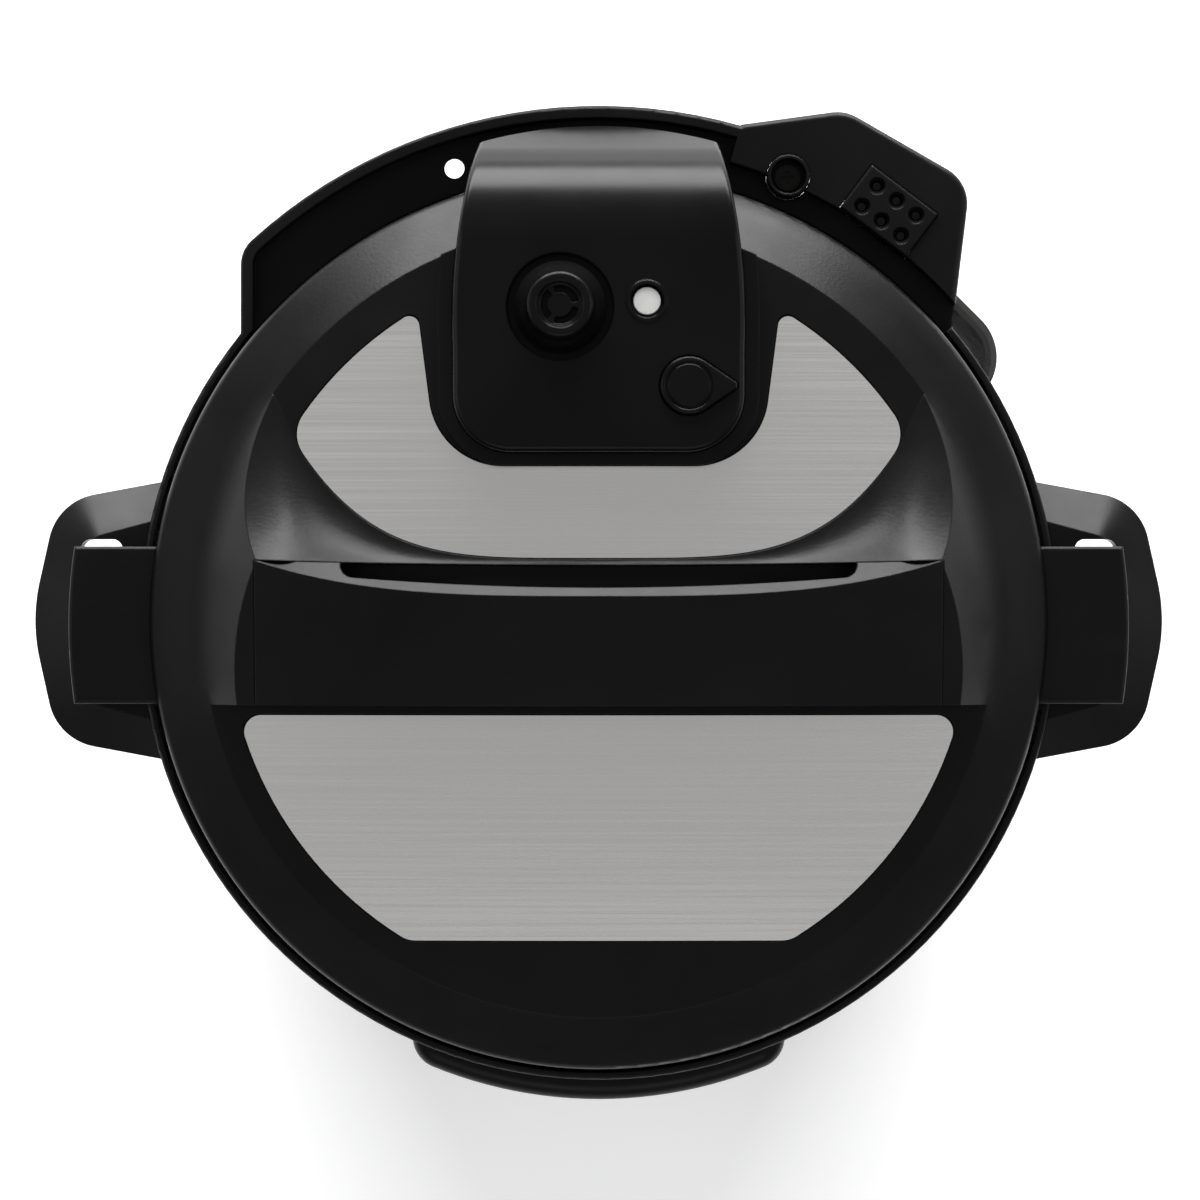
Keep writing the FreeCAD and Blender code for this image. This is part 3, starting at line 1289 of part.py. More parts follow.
def steam_module():
    shell = module_block(0, MODULE_Z, MODULE_LOW)
    rim = [edge for edge in shell.Edges if level(edge, MODULE_Z) and edge.BoundBox.YMin < MODULE_REAR - 30]
    shell = shell.makeFillet(2.0, rim) if rim else shell
    shell = shell.cut(module_block(-MODULE_WALL, MODULE_Z - MODULE_WALL, 0))
    step = cover_step()
    shell = shell.cut(cover_envelope(SEAT_GAP).cut(block((-TALL, 0, step), (TALL, BAND_RADIUS, TALL))))
    shell = shell.cut(rod(BAND_RADIUS + SEAT_GAP, 0, step))
    well = rod(WELL_RADIUS + 1.5, WELL_FLOOR - 1.5, MODULE_Z - 1, VALVE_X, VALVE_Y)
    cup_low = MODULE_Z - 6
    cup = prism(teardrop(1.6), cup_low, MODULE_Z - 1)
    ear = block((-4, ROCKER_WIDTH / 2 + 0.4, ROCKER_Z - 4), (4, ROCKER_WIDTH / 2 + 3.4, MODULE_Z - 1))
    float_ring = rod(FLOAT_DISC + 2, MODULE_Z - 4, MODULE_Z + 0.3, FLOAT_X, FLOAT_Y)
    far_ear = ear.mirror(Vector(), Vector(0, 1, 0))
    shell = shell.fuse([well, cup, rocker_frame(ear), rocker_frame(far_ear), float_ring])
    shell = shell.cut(rod(WELL_RADIUS, WELL_FLOOR, TALL, VALVE_X, VALVE_Y))
    shell = shell.cut(prism(teardrop(0.4), cup_low + 1, TALL))
    pin = Part.makeCylinder(ROCKER_PIN + 0.02, 40, Vector(0, -20, ROCKER_Z), Vector(0, 1, 0))
    push = rod(ROCKER_PIN + 1.5, 0, TALL, -rocker_arm(), 0)
    shell = shell.cut([rod(PIPE_RADIUS + 0.5, 0, TALL, VALVE_X, VALVE_Y),
                       rocker_frame(push), rocker_frame(pin),
                       rod(FLOAT_DISC + 0.8, 0, TALL, FLOAT_X, FLOAT_Y),
                       rod(RELEASE_STEM + RUN_GAP, 0, TALL, RELEASE_X, RELEASE_Y)])
    return shell.removeSplitter()


def vent_pipe():
    x, y = VALVE_X, VALVE_Y
    seat = dome_drop(math.hypot(x, y))
    top = WELL_FLOOR + 8.0
    pipe = rod(PIPE_RADIUS, seat - 6, top, x, y).fuse(rod(PIPE_RADIUS + 2, seat - 8, seat - 1.5, x, y))
    return pipe.cut(rod(PIPE_RADIUS / 2, 0, TALL, x, y)).removeSplitter()


def anti_block_shield():
    """Slotted cage under the vent pipe, clipped round its foot."""
    x, y = VALVE_X, VALVE_Y
    top = dome_drop(math.hypot(x, y)) - 3
    outer = 2.6 * PIPE_RADIUS
    cage = rod(outer, top - 8, top, x, y).cut(rod(outer - 1, top - 7, top - 1.5, x, y))
    cage = cage.cut(rod(PIPE_RADIUS + 2.05, top - 5, top, x, y))
    slot = block((x, y - 1, top - 6), (x + 2 * outer, y + 1, top - 3))
    return cage.cut(group([spun(slot, 45 * i, x, y) for i in range(8)]))


def valve_weight():
    low = WELL_FLOOR + 0.4
    body = softened(rod(WEIGHT_RADIUS, low, low + 11, VALVE_X, VALVE_Y), 0.6, lambda edge: level(edge, low))
    return body.cut(rod(PIPE_RADIUS + 0.4, 0, WELL_FLOOR + 8.0 + RUN_GAP, VALVE_X, VALVE_Y))


def valve_cap():
    low = WELL_FLOOR + 1.0
    top = RIM_TOP + CAP_TOP
    inner = WEIGHT_RADIUS + 0.05
    roof = WELL_FLOOR + 11.4
    cap = turned([
        (0, roof), (inner, roof), (inner, low), (CAP_RADIUS, low, 1.0), (CAP_RADIUS, low + 7, 2.0),
        (CAP_RING + 1.2, top - 5, 3.0), (CAP_RING, top, 1.2), (VENT_RING + 1.2, top, 0.6),
        (VENT_RING + 0.7, top - 1.2),
        (0, top - 1.2)])
    cap = cap.cut(rod(VENT_RING + 0.2, roof + 1.5, top - 3))
    slot = tube(VENT_RING, VENT_RING - 2, top - 4, top).common(wedge(10, 110, top - 4, top))
    cap = cap.cut(group([spun(slot, 120 * i) for i in range(3)]))
    cap.translate(Vector(VALVE_X, VALVE_Y, 0))
    return cap


def float_valve():
    top = MODULE_Z - 0.4
    low = dome_drop(math.hypot(FLOAT_X, FLOAT_Y)) - FLOAT_RISE - 6
    pin = rod(FLOAT_PIN, low, top - 2, FLOAT_X, FLOAT_Y)
    disc = softened(rod(FLOAT_DISC, top - 2.5, top, FLOAT_X, FLOAT_Y), 0.4, lambda edge: level(edge, top))
    return pin.fuse(disc).removeSplitter()


def float_cap():
    low = dome_drop(math.hypot(FLOAT_X, FLOAT_Y)) - FLOAT_RISE - 6
    cap = rod(FLOAT_PIN + 2, low - 1.5, low + 4, FLOAT_X, FLOAT_Y)
    return cap.cut(rod(FLOAT_PIN, low, TALL, FLOAT_X, FLOAT_Y))


def quick_release_button():
    top = MODULE_Z + 1.5
    head = prism(teardrop(0), MODULE_Z - 5 + RELEASE_TRAVEL + RUN_GAP, top)
    head = softened(head, 0.7, lambda edge: level(edge, top))
    ring = tube(RELEASE_RADIUS - 1.4, RELEASE_RADIUS - 2.2, top - 0.5, top + 1, RELEASE_X, RELEASE_Y)
    stem = rod(RELEASE_STEM, ROCKER_Z + ROCKER_THICK / 2 + RUN_GAP, top - 1, RELEASE_X, RELEASE_Y)
    return head.cut(ring).fuse(stem).removeSplitter()


def release_rocker():
    arm = rocker_arm()
    half = ROCKER_WIDTH / 2
    thick = ROCKER_THICK / 2
    bar = block((-arm - 1.8, -half, ROCKER_Z - thick), (arm + 3, half, ROCKER_Z + thick))
    hub = Part.makeCylinder(ROCKER_PIN + 2, ROCKER_WIDTH, Vector(0, -half, ROCKER_Z), Vector(0, 1, 0))
    push = rod(ROCKER_PIN, ROCKER_Z, WELL_FLOOR + 0.4 - RUN_GAP, -arm, 0)
    bore = Part.makeCylinder(ROCKER_PIN + 0.1, 4 * half, Vector(0, -2 * half, ROCKER_Z), Vector(0, 1, 0))
    return rocker_frame(bar.fuse([hub, push]).removeSplitter().cut(bore))


def rocker_pin():
    length = ROCKER_WIDTH + 6.8
    start = Vector(0, -length / 2, ROCKER_Z)
    return rocker_frame(Part.makeCylinder(ROCKER_PIN, length, start, Vector(0, 1, 0)))


PIECES = [
    rubber_feet, base_bottom, outer_sleeve, upper_collar, right_handle, control_housing, control_fascia,
    display_window, lcd_module, control_board, touch_switches, inner_shell, lock_ring, heating_plate,
    heating_element, sensor_button, sensor_spring, pressure_switch, power_board, board_parts, board_screws,
    mains_inlet, inlet_pins, accessory_socket, socket_contacts, locator_ring, locator_screw,
    collector_bracket, condensation_collector, inner_pot, sealing_ring, lid_cover, lid_dome,
    lid_screws, seal_rack, handle_grip, right_fin, steam_module, vent_pipe, anti_block_shield,
    valve_weight, valve_cap, float_valve, float_cap, quick_release_button, release_rocker, rocker_pin]

shapes = {piece.__name__: piece() for piece in PIECES}
shapes["left_handle"] = mirrored(shapes["right_handle"])
shapes["left_fin"] = mirrored(shapes["right_fin"])
shapes["front_panel"] = panel_shape(front_panel_plan(0))
shapes["rear_panel"] = panel_shape(rear_panel_plan(0))
for button, button_turn, button_height in button_places():
    shapes[button] = push_button(button_turn, button_height)

os.makedirs("parts", exist_ok=True)
for name, shape in shapes.items():
    shape.exportStep(f"parts/{name}.step")
    print(name, len(shape.Solids), round(shape.Volume), "valid" if shape.isValid() else "NOT VALID")
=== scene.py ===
# %% [markdown]
# The object is an electric pressure cooker with its lid on. Its solids come from the imported frame at
# their real size and place, in metres, so nothing is fitted by hand here.

# %% Load the frame
import bpy
import json
import math
import numpy as np
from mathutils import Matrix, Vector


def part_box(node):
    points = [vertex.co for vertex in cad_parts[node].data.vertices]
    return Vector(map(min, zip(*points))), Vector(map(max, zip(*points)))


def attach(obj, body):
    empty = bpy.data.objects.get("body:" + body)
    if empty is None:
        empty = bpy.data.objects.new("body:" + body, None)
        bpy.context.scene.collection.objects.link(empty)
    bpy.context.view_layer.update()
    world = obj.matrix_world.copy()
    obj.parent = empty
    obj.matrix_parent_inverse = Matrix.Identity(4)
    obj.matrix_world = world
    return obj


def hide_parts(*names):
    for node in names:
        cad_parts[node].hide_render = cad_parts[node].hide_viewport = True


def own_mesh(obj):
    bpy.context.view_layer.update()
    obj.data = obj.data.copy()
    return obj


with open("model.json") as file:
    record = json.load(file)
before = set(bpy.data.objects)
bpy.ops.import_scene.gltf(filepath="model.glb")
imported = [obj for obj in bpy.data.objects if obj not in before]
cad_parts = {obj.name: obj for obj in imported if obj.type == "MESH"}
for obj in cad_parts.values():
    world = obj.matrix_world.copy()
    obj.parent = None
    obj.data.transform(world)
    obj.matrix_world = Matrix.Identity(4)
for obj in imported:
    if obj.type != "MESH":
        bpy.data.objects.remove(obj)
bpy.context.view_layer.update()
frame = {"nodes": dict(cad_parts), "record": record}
nodes = frame["nodes"]
record = frame["record"]

# %% [markdown]
# The real cooker is a set of mouldings, pressings and small turned parts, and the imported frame
# already holds them at their real size. What is missing is the finish. A shape that arrives as
# loose triangles shades as facets, so each piece gets a copy whose doubled points are merged and
# whose normals run smoothly up to its real edges. Modelling everything again would give the same
# forms with more chances to misfit, so the copy is the better way.

# %% Smooth copies of the solid pieces
EDGE_ANGLE = math.radians(20)
MERGE_DISTANCE = 2e-6


def add_object(name, mesh):
    """New object at the origin that holds a mesh."""
    piece = bpy.data.objects.new(name, mesh)
    bpy.context.scene.collection.objects.link(piece)
    return piece


def smooth_copy(node):
    """A copy of a node's mesh with equal points merged and normals smooth below the edge angle.

    Points are rounded to whole merge distances, equal ones share an index, and a triangle that
    loses a corner that way is dropped.
    """
    source = nodes[node].data
    points = np.empty(len(source.vertices) * 3)
    source.vertices.foreach_get("co", points)
    points = points.reshape(-1, 3)
    keys = np.round(points / MERGE_DISTANCE).astype(np.int64)
    _, first, index = np.unique(keys, axis=0, return_index=True, return_inverse=True)
    corners = np.empty(len(source.loops), dtype=np.int32)
    source.loops.foreach_get("vertex_index", corners)
    faces = index.reshape(-1)[corners].reshape(-1, 3)
    distinct = np.all(faces != np.roll(faces, 1, axis=1), axis=1)
    mesh = bpy.data.meshes.new(node + "_skin")
    mesh.from_pydata(points[first], [], faces[distinct])
    mesh.validate()
    mesh.polygons.foreach_set("use_smooth", np.ones(len(mesh.polygons), dtype=bool))
    mesh.set_sharp_from_angle(angle=EDGE_ANGLE)
    return add_object(node + "_skin", mesh)


skins = {node: smooth_copy(node) for node in sorted(nodes)}
print("smoothed", len(skins), "pieces")

# %% [markdown]
# Every finish below is a small graph of nodes on Object coordinates, in metres. A helper makes the
# graph's usual parts: a noise at a real size, a ramp of two values and a bump from the noise. With
# those, each finish is a few lines that say what the surface is.

# %% Helper for the finishes
RAMP_START = 0.3
RAMP_END = 0.7
EDGE_SAMPLES = 4


class Finish:
    """One material with its shader and short ways to add the usual nodes."""

    def __init__(self, name, colour, roughness, metallic=0.0):
        self.material = bpy.data.materials.new(name)
        self.material.use_nodes = True
        self.tree = self.material.node_tree
        self.shader = self.tree.nodes["Principled BSDF"]
        self.set("Base Color", (*colour, 1.0))
        self.set("Roughness", roughness)
        self.set("Metallic", metallic)
        self.place = self.tree.nodes.new("ShaderNodeTexCoord").outputs["Object"]

    def set(self, socket, value):
        """A value that is the same all over, on the shader's own socket."""
        self.shader.inputs[socket].default_value = value

    def link(self, output, socket):
        """A value that varies over the surface, from a node to the shader."""
        self.tree.links.new(output, self.shader.inputs[socket])

    def noise(self, scale, detail=3.0, stretch=(1.0, 1.0, 1.0)):
        """Noise with features 1 / scale metres wide, squeezed by stretch along each axis."""
        mapping = self.tree.nodes.new("ShaderNodeMapping")
        mapping.inputs["Scale"].default_value = stretch
        texture = self.tree.nodes.new("ShaderNodeTexNoise")
        texture.inputs["Scale"].default_value = scale
        texture.inputs["Detail"].default_value = detail
        self.tree.links.new(self.place, mapping.inputs["Vector"])
        self.tree.links.new(mapping.outputs["Vector"], texture.inputs["Vector"])
        return texture.outputs["Fac"]

    def ramp(self, value, low, high):
        """Two colours or two greys blended by a value, with the middle of its range spread out."""
        blend = self.tree.nodes.new("ShaderNodeValToRGB")
        start, end = blend.color_ramp.elements
        start.position, end.position = RAMP_START, RAMP_END
        start.color = (*low, 1.0) if isinstance(low, tuple) else (low, low, low, 1.0)
        end.color = (*high, 1.0) if isinstance(high, tuple) else (high, high, high, 1.0)
        self.tree.links.new(value, blend.inputs["Fac"])
        return blend.outputs["Color"]

    def bump(self, value, depth, strength=1.0, edge=0.0):
        """Fine relief of a depth in metres, on edges that look rounded to a radius."""
        relief = self.tree.nodes.new("ShaderNodeBump")
        if edge:
            round_edge = self.tree.nodes.new("ShaderNodeBevel")
            round_edge.samples = EDGE_SAMPLES
            round_edge.inputs["Radius"].default_value = edge
            self.tree.links.new(round_edge.outputs["Normal"], relief.inputs["Normal"])
        relief.inputs["Distance"].default_value = depth
        relief.inputs["Strength"].default_value = strength
        self.tree.links.new(value, relief.inputs["Height"])
        self.link(relief.outputs["Normal"], "Normal")


print("finish helper ready")

# %% [markdown]
# The lid, the collar and the handles are black mouldings with a fine spark-eroded grain. The grain
# is about a millimetre, so it reads as a soft sheen and not as a pattern. Two larger noises vary
# the colour and the gloss a little, as handling does on the real thing. The mouldings' edges are
# only rounded in the shading: a radius of 0.7 mm is too small to need faces of its own.

# %% Black mouldings
MOULD_EDGE = 0.0007
DRIFT_SCALE = 18.0
DRIFT_GAIN = 1.35
DRIFT_LIFT = 0.001
GLOSS_SCALE = 60.0


def moulding(name, colour, rough_low, rough_high, grain=900.0, depth=0.00003, shine=0.11):
    """Grained plastic: fine bump, gloss that wanders slowly and a faint drift of colour."""
    finish = Finish(name, colour, rough_high)
    finish.set("Specular IOR Level", shine)
    lighter = tuple(min(1.0, part * DRIFT_GAIN + DRIFT_LIFT) for part in colour)
    finish.link(finish.ramp(finish.noise(DRIFT_SCALE, 4.0), colour, lighter), "Base Color")
    finish.link(finish.ramp(finish.noise(GLOSS_SCALE, 5.0), rough_low, rough_high), "Roughness")
    finish.bump(finish.noise(grain, 2.0), depth, edge=MOULD_EDGE)
    return finish.material


black_moulding = moulding("black_moulding", (0.0022, 0.0022, 0.0024), 0.29, 0.36)
module_moulding = moulding("module_moulding", (0.0018, 0.0018, 0.0019), 0.22, 0.27, 1300.0, 0.00001)
rim_moulding = moulding("rim_moulding", (0.0024, 0.0023, 0.0022), 0.30, 0.38)
component_black = moulding("component_black", (0.03, 0.03, 0.032), 0.4, 0.55)
print("black mouldings made")

# %% [markdown]
# The panel, its keys, the feet, the seals and the circuit boards are other plastics. Each differs
# from the lid in colour, gloss and the size of its grain alone, so the same function makes them all.

# %% Other plastics, rubber and boards
key_plastic = moulding("key_plastic", (0.045, 0.045, 0.048), 0.35, 0.45, 1500.0, 0.00001)
panel_plastic = moulding("panel_plastic", (0.008, 0.008, 0.009), 0.12, 0.2, 1500.0, 0.000004)
foot_rubber = moulding("foot_rubber", (0.015, 0.015, 0.015), 0.7, 0.85, 700.0, 0.00006)
silicone = moulding("silicone", (0.62, 0.62, 0.59), 0.35, 0.5, 500.0, 0.00002)
board_green = moulding("board_green", (0.012, 0.12, 0.045), 0.35, 0.5, 800.0, 0.00002)
print("other plastics made")

# %% [markdown]
# Brushed steel is covered with fine scratches that all run one way. A noise drawn out a hundred
# times along that way gives both the streaks in the gloss and a slight relief across them, which
# spreads highlights sideways as real brushing does. On the lid the brushing runs from left to
# right; on the sleeve and the pot it runs round the body, so the noise is drawn out level by level.

# %% Brushed steels
STREAK_SHADE = 0.94
STREAK_DULL = 0.08
STREAK_SHINE = 0.05
STREAK_DEPTH = 0.000002
STREAK_STRENGTH = 0.3


def brushed(name, colour, stretch, roughness):
    """Steel with long streaks: stretched noise in colour, gloss and relief."""
    finish = Finish(name, colour, roughness, 1.0)
    streak = finish.noise(1.0, 4.0, stretch)
    darker = tuple(part * STREAK_SHADE for part in colour)
    finish.link(finish.ramp(streak, darker, colour), "Base Color")
    finish.link(finish.ramp(streak, roughness + STREAK_DULL, roughness - STREAK_SHINE), "Roughness")
    finish.bump(streak, STREAK_DEPTH, STREAK_STRENGTH)
    return finish.material


lid_steel = brushed("lid_steel", (0.80, 0.79, 0.775), (10.0, 2200.0, 40.0), 0.27)
sleeve_steel = brushed("sleeve_steel", (0.27, 0.27, 0.265), (6.0, 6.0, 1600.0), 0.33)
pot_steel = brushed("pot_steel", (0.50, 0.50, 0.49), (9.0, 9.0, 900.0), 0.28)
print("brushed steels made")

# %% [markdown]
# Turned pins, screws, the heating plate and the contacts are plain metals. They have no direction,
# only faint marks, so an even noise varies their gloss. The float's flat top is a dull, pale metal,
# and its finish is half metallic so that it stays pale under a dark ceiling. The socket's contacts and
# the screw in the locator ring sit at the bottom of holes, and their near-black colour is painted shade
# for those holes.

# %% Plain metals
MARK_SCALE = 300.0
MARK_SPREAD = 0.12
PIT_SCALE = 900.0
PIT_DEPTH = 0.000004


def bright(name, colour, roughness, metallic=1.0):
    """Turned or plated metal with faint marks."""
    finish = Finish(name, colour, roughness, metallic)
    marks = finish.noise(MARK_SCALE, 4.0)
    finish.link(finish.ramp(marks, roughness, roughness + MARK_SPREAD), "Roughness")
    finish.bump(finish.noise(PIT_SCALE, 2.0), PIT_DEPTH)
    return finish.material


satin_aluminium = bright("satin_aluminium", (0.70, 0.70, 0.70), 0.35)
bright_metal = bright("bright_metal", (0.78, 0.78, 0.78), 0.16)
contact_brass = bright("contact_brass", (0.72, 0.53, 0.22), 0.22)
# Near-black colour: painted shade for the holes that hold the socket's contacts and the locator screw.
hole_shade_metal = bright("hole_shade_metal", (0.02, 0.019, 0.018), 0.35)
float_metal = bright("float_metal", (0.62, 0.62, 0.61), 0.4, 0.5)
print("plain metals made")

# %% [markdown]
# The condensation cup is smoky see-through plastic and the display has a dark window. Both are
# mostly transmission with a grey tint. The tint is the base colour, so it darkens with each wall
# that light passes, which is what makes the rim of the real cup look darker than its sides.

# %% See-through plastics
PLASTIC_IOR = 1.49
HAZE_SCALE = 80.0
HAZE_SPREAD = 0.06


def clear(name, colour, roughness, share):
    """Tinted clear plastic; share is how much light passes."""
    finish = Finish(name, colour, roughness)
    finish.set("Transmission Weight", share)
    finish.set("IOR", PLASTIC_IOR)
    haze = finish.noise(HAZE_SCALE, 3.0)
    finish.link(finish.ramp(haze, roughness, roughness + HAZE_SPREAD), "Roughness")
    return finish.material


smoky_plastic = clear("smoky_plastic", (0.035, 0.034, 0.033), 0.12, 0.7)
window_plastic = clear("window_plastic", (0.05, 0.055, 0.065), 0.06, 0.75)
print("clear plastics made")

# %% [markdown]
# Each piece now gets its finish. Most of the object is the same black moulding, so the table lists
# only the pieces that differ. The record says which body a piece moves with, so that does not have
# to be typed again.

# %% Put each finish on its pieces
panel_keys = [name for name in nodes if name.endswith("_button")
              and name not in ("quick_release_button", "sensor_button")]
FINISHES = [
    (lid_steel, ["front_panel", "rear_panel"]),
    (sleeve_steel, ["outer_sleeve"]),
    (pot_steel, ["inner_pot", "lid_dome", "lock_ring", "seal_rack", "anti_block_shield"]),
    (satin_aluminium, ["inner_shell", "heating_plate", "sensor_button"]),
    (float_metal, ["float_valve"]),
    (bright_metal, ["vent_pipe", "valve_weight", "rocker_pin", "lid_screws", "board_screws",
                    "sensor_spring", "heating_element"]),
    (contact_brass, ["inlet_pins"]),
    # Painted shade: the contacts and the locator screw get near-black metal for the shade in their
    # holes.
    (hole_shade_metal, ["socket_contacts", "locator_screw"]),
    (module_moulding, ["steam_module", "valve_cap", "quick_release_button", "release_rocker"]),
    (rim_moulding, ["upper_collar", "left_handle", "right_handle", "accessory_socket",
                    "locator_ring"]),
    (panel_plastic, ["control_fascia"]),
    (foot_rubber, ["rubber_feet"]),
    (silicone, ["sealing_ring", "float_cap"]),
    (board_green, ["control_board", "power_board"]),
    (component_black, ["board_parts", "touch_switches", "pressure_switch", "lcd_module"]),
    (smoky_plastic, ["condensation_collector"]),
    (window_plastic, ["display_window"]),
    (key_plastic, panel_keys),
]
bodies = record["behaviour"]["bodies"]
finish_of = {node: material for material, members in FINISHES for node in members}
body_of = {node: body for body, members in bodies.items() for node in members}
for node, skin in skins.items():
    skin.data.materials.append(finish_of.get(node, black_moulding))
    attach(skin, body_of[node])
    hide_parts(node)
print("finished", len(skins), "pieces;", len(finish_of), "with a finish of their own")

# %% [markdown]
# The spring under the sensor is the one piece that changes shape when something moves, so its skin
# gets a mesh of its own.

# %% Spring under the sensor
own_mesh(skins["sensor_spring"])

# %% [markdown]
# The control panel carries printed signs and a display of plain digits. They are thin patches that
# lie on the panel's curve: a flat shape in (across, up) is wrapped on an upright cylinder, so its
# point (a, h) goes to the cylinder at the angle a / radius and the height h. Texture painting would
# need an image, so small patches of mesh are the simpler way.

# %% Flat bands for the printed signs


def strip(start, end, width, steps=8):
    """Band of a width along the line from start to end, as a grid of (across, up) points.

    A row's middle is start + share * (end - start), and its two points lie half a width to
    each side.
    """
    start, end = np.array(start), np.array(end)
    along = (end - start) / np.linalg.norm(end - start)
    side = np.array([-along[1], along[0]]) * width / 2
    share = np.linspace(0, 1, steps)[:, None, None]
    rows = start + share * (end - start)
    return rows + np.array([-1, 1])[None, :, None] * side


def arc_band(centre, radius, width, start, end, steps=40):
    """Band round a centre between two angles in degrees.

    A row's points are centre + (radius plus or minus half the width) * (cos angle, sin angle).
    """
    angle = np.radians(np.linspace(start, end, steps))[:, None, None]
    radii = radius + np.array([-0.5, 0.5])[None, :, None] * width
    return np.array(centre) + radii * np.concatenate([np.cos(angle), np.sin(angle)], axis=2)


print("a plain stroke has", strip((0, 0), (1, 0), 1).shape[0], "rows of points")

# %% Bands wrapped on the panel
PANEL_RADIUS = 0.1368
panel_axis_y = float(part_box("control_fascia")[0][1]) + PANEL_RADIUS


def wrapped(name, bands, lift, material, body):
    """One mesh of several bands laid on the panel's cylinder, lift metres in front of it.

    The point (across, up) goes to the angle across / radius round the upright axis of the panel.
    """
    radius = PANEL_RADIUS + lift
    points, faces, base = [], [], 0
    for band in bands:
        rows, columns = band.shape[:2]
        angle = band[..., 0] / PANEL_RADIUS
        place = [radius * np.sin(angle), panel_axis_y - radius * np.cos(angle), band[..., 1]]
        index = np.arange(rows * columns).reshape(rows, columns) + base
        corners = [index[:-1, :-1], index[1:, :-1], index[1:, 1:], index[:-1, 1:]]
        points.append(np.stack(place, axis=-1).reshape(-1, 3))
        faces.append(np.stack(corners, axis=-1).reshape(-1, 4))
        base += rows * columns
    mesh = bpy.data.meshes.new(name)
    mesh.from_pydata(np.concatenate(points), [], np.concatenate(faces))
    if mesh.polygons[0].normal.y > 0:
        mesh.flip_normals()
    mesh.materials.append(material)
    piece = add_object(name, mesh)
    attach(piece, body)
    return piece


print("panel radius", PANEL_RADIUS, "axis at y", round(panel_axis_y, 4))

# %% [markdown]
# Print and lit segments are flat colours with hardly any texture, so a fine noise in the gloss is
# enough. The digits also give off a little light of their own colour, as a real display does.

# %% Print and lit colours
INK_GRAIN = 2500.0
INK_ROUGHNESS = 0.5


def ink(name, colour, glow=0.0):
    """Printed or lit colour with a faint grain."""
    finish = Finish(name, colour, INK_ROUGHNESS)
    finish.link(finish.ramp(finish.noise(INK_GRAIN, 2.0), 0.45, 0.6), "Roughness")
    if glow:
        finish.set("Emission Color", (*colour, 1.0))
        finish.set("Emission Strength", glow)
    return finish.material


white_ink = ink("white_ink", (0.62, 0.62, 0.60))
lit_digits = ink("lit_digits", (0.25, 0.62, 0.85), 0.8)
print("inks made")

# %% [markdown]
# The keys of such a panel carry simple signs: plus, minus, a cross, an arrow, a clock, a list, a
# dial and a wave of warm air. Each is a few strokes about the key's centre, in metres, and rides on
# its own key so that it moves when the key is pressed.

# %% Signs on the keys
SIGN_LINE = 0.0007
SIGN_ARM = 0.0020
CROSS_ARM = 0.0016
ARROW_BACK = -0.0012
DIAL_RADIUS = 0.0022
DIAL_DROP = -0.0004
LONG_HAND = 0.0015
SHORT_HAND = 0.0012
NEEDLE_TIP = (0.0011, 0.0009)
LIST_STEP = 0.0015
WAVE_RADIUS = 0.0009
WAVE_PLACE = 0.0015


def stroke(start, end):
    """Straight line of a sign."""
    return strip(start, end, SIGN_LINE)


def arc(centre, radius, start, end):
    """Round line of a sign, between two angles in degrees."""
    return arc_band(centre, radius, SIGN_LINE, start, end)


KEY_SIGNS = {
    "plus_button": [stroke((-SIGN_ARM, 0), (SIGN_ARM, 0)), stroke((0, -SIGN_ARM), (0, SIGN_ARM))],
    "minus_button": [stroke((-SIGN_ARM, 0), (SIGN_ARM, 0))],
    "cancel_button": [stroke((-CROSS_ARM, -CROSS_ARM), (CROSS_ARM, CROSS_ARM)),
                      stroke((-CROSS_ARM, CROSS_ARM), (CROSS_ARM, -CROSS_ARM))],
    "start_button": [stroke((ARROW_BACK, -SIGN_ARM), (SIGN_ARM, 0)),
                     stroke((ARROW_BACK, SIGN_ARM), (SIGN_ARM, 0)),
                     stroke((ARROW_BACK, -SIGN_ARM), (ARROW_BACK, SIGN_ARM))],
    "timer_button": [arc((0, 0), DIAL_RADIUS, 0, 360), stroke((0, 0), (0, LONG_HAND)),
                     stroke((0, 0), (SHORT_HAND, 0))],
    "mode_button": [stroke((-SIGN_ARM, height), (SIGN_ARM, height))
                    for height in (-LIST_STEP, 0, LIST_STEP)],
    "pressure_button": [arc((0, DIAL_DROP), DIAL_RADIUS, -30, 210), stroke((0, DIAL_DROP), NEEDLE_TIP)],
    "warm_button": [arc((across, up), WAVE_RADIUS, start, start + 180)
                    for across in (-WAVE_PLACE, WAVE_PLACE)
                    for up, start in ((-WAVE_RADIUS, 90), (WAVE_RADIUS, -90))],
}
print("signs drawn for", len(KEY_SIGNS), "keys")

# %% Print the signs
PRINT_LIFT = 0.00006
KEY_PROUD = 0.0001


def key_centre(node):
    """Place of a key on the panel, as (across, up) in metres."""
    low, high = (np.array(corner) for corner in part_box(node))
    middle = (low + high) / 2
    angle = math.atan2(middle[0], panel_axis_y - middle[1])
    return np.array([angle * PANEL_RADIUS, middle[2]])


for node in sorted(KEY_SIGNS):
    bands = [band + key_centre(node) for band in KEY_SIGNS[node]]
    wrapped(node + "_sign", bands, KEY_PROUD + PRINT_LIFT, white_ink, body_of[node])
print("signs printed")

# %% [markdown]
# The display shows a plain time. A seven-segment digit is at most seven short strokes, named by the
# usual letters from a at the top to g across the middle, and each is trimmed a little at its ends so
# that the segments stay apart.

# %% Digits behind the window
SEGMENTS = {"0": "abcdef", "3": "abcdg"}
DIGIT_HEIGHT = 0.015
DIGIT_HALF_WIDTH = 0.28
SEGMENT_WIDTH = 0.11
SEGMENT_TRIM = 0.08
DIGIT_PLACES = (-0.019, -0.0075, 0.0075, 0.019)
DIGIT_LIFT = 0.00002
COLON_HALF = 0.0006
COLON_WIDTH = 0.0014
COLON_RISE = 0.003


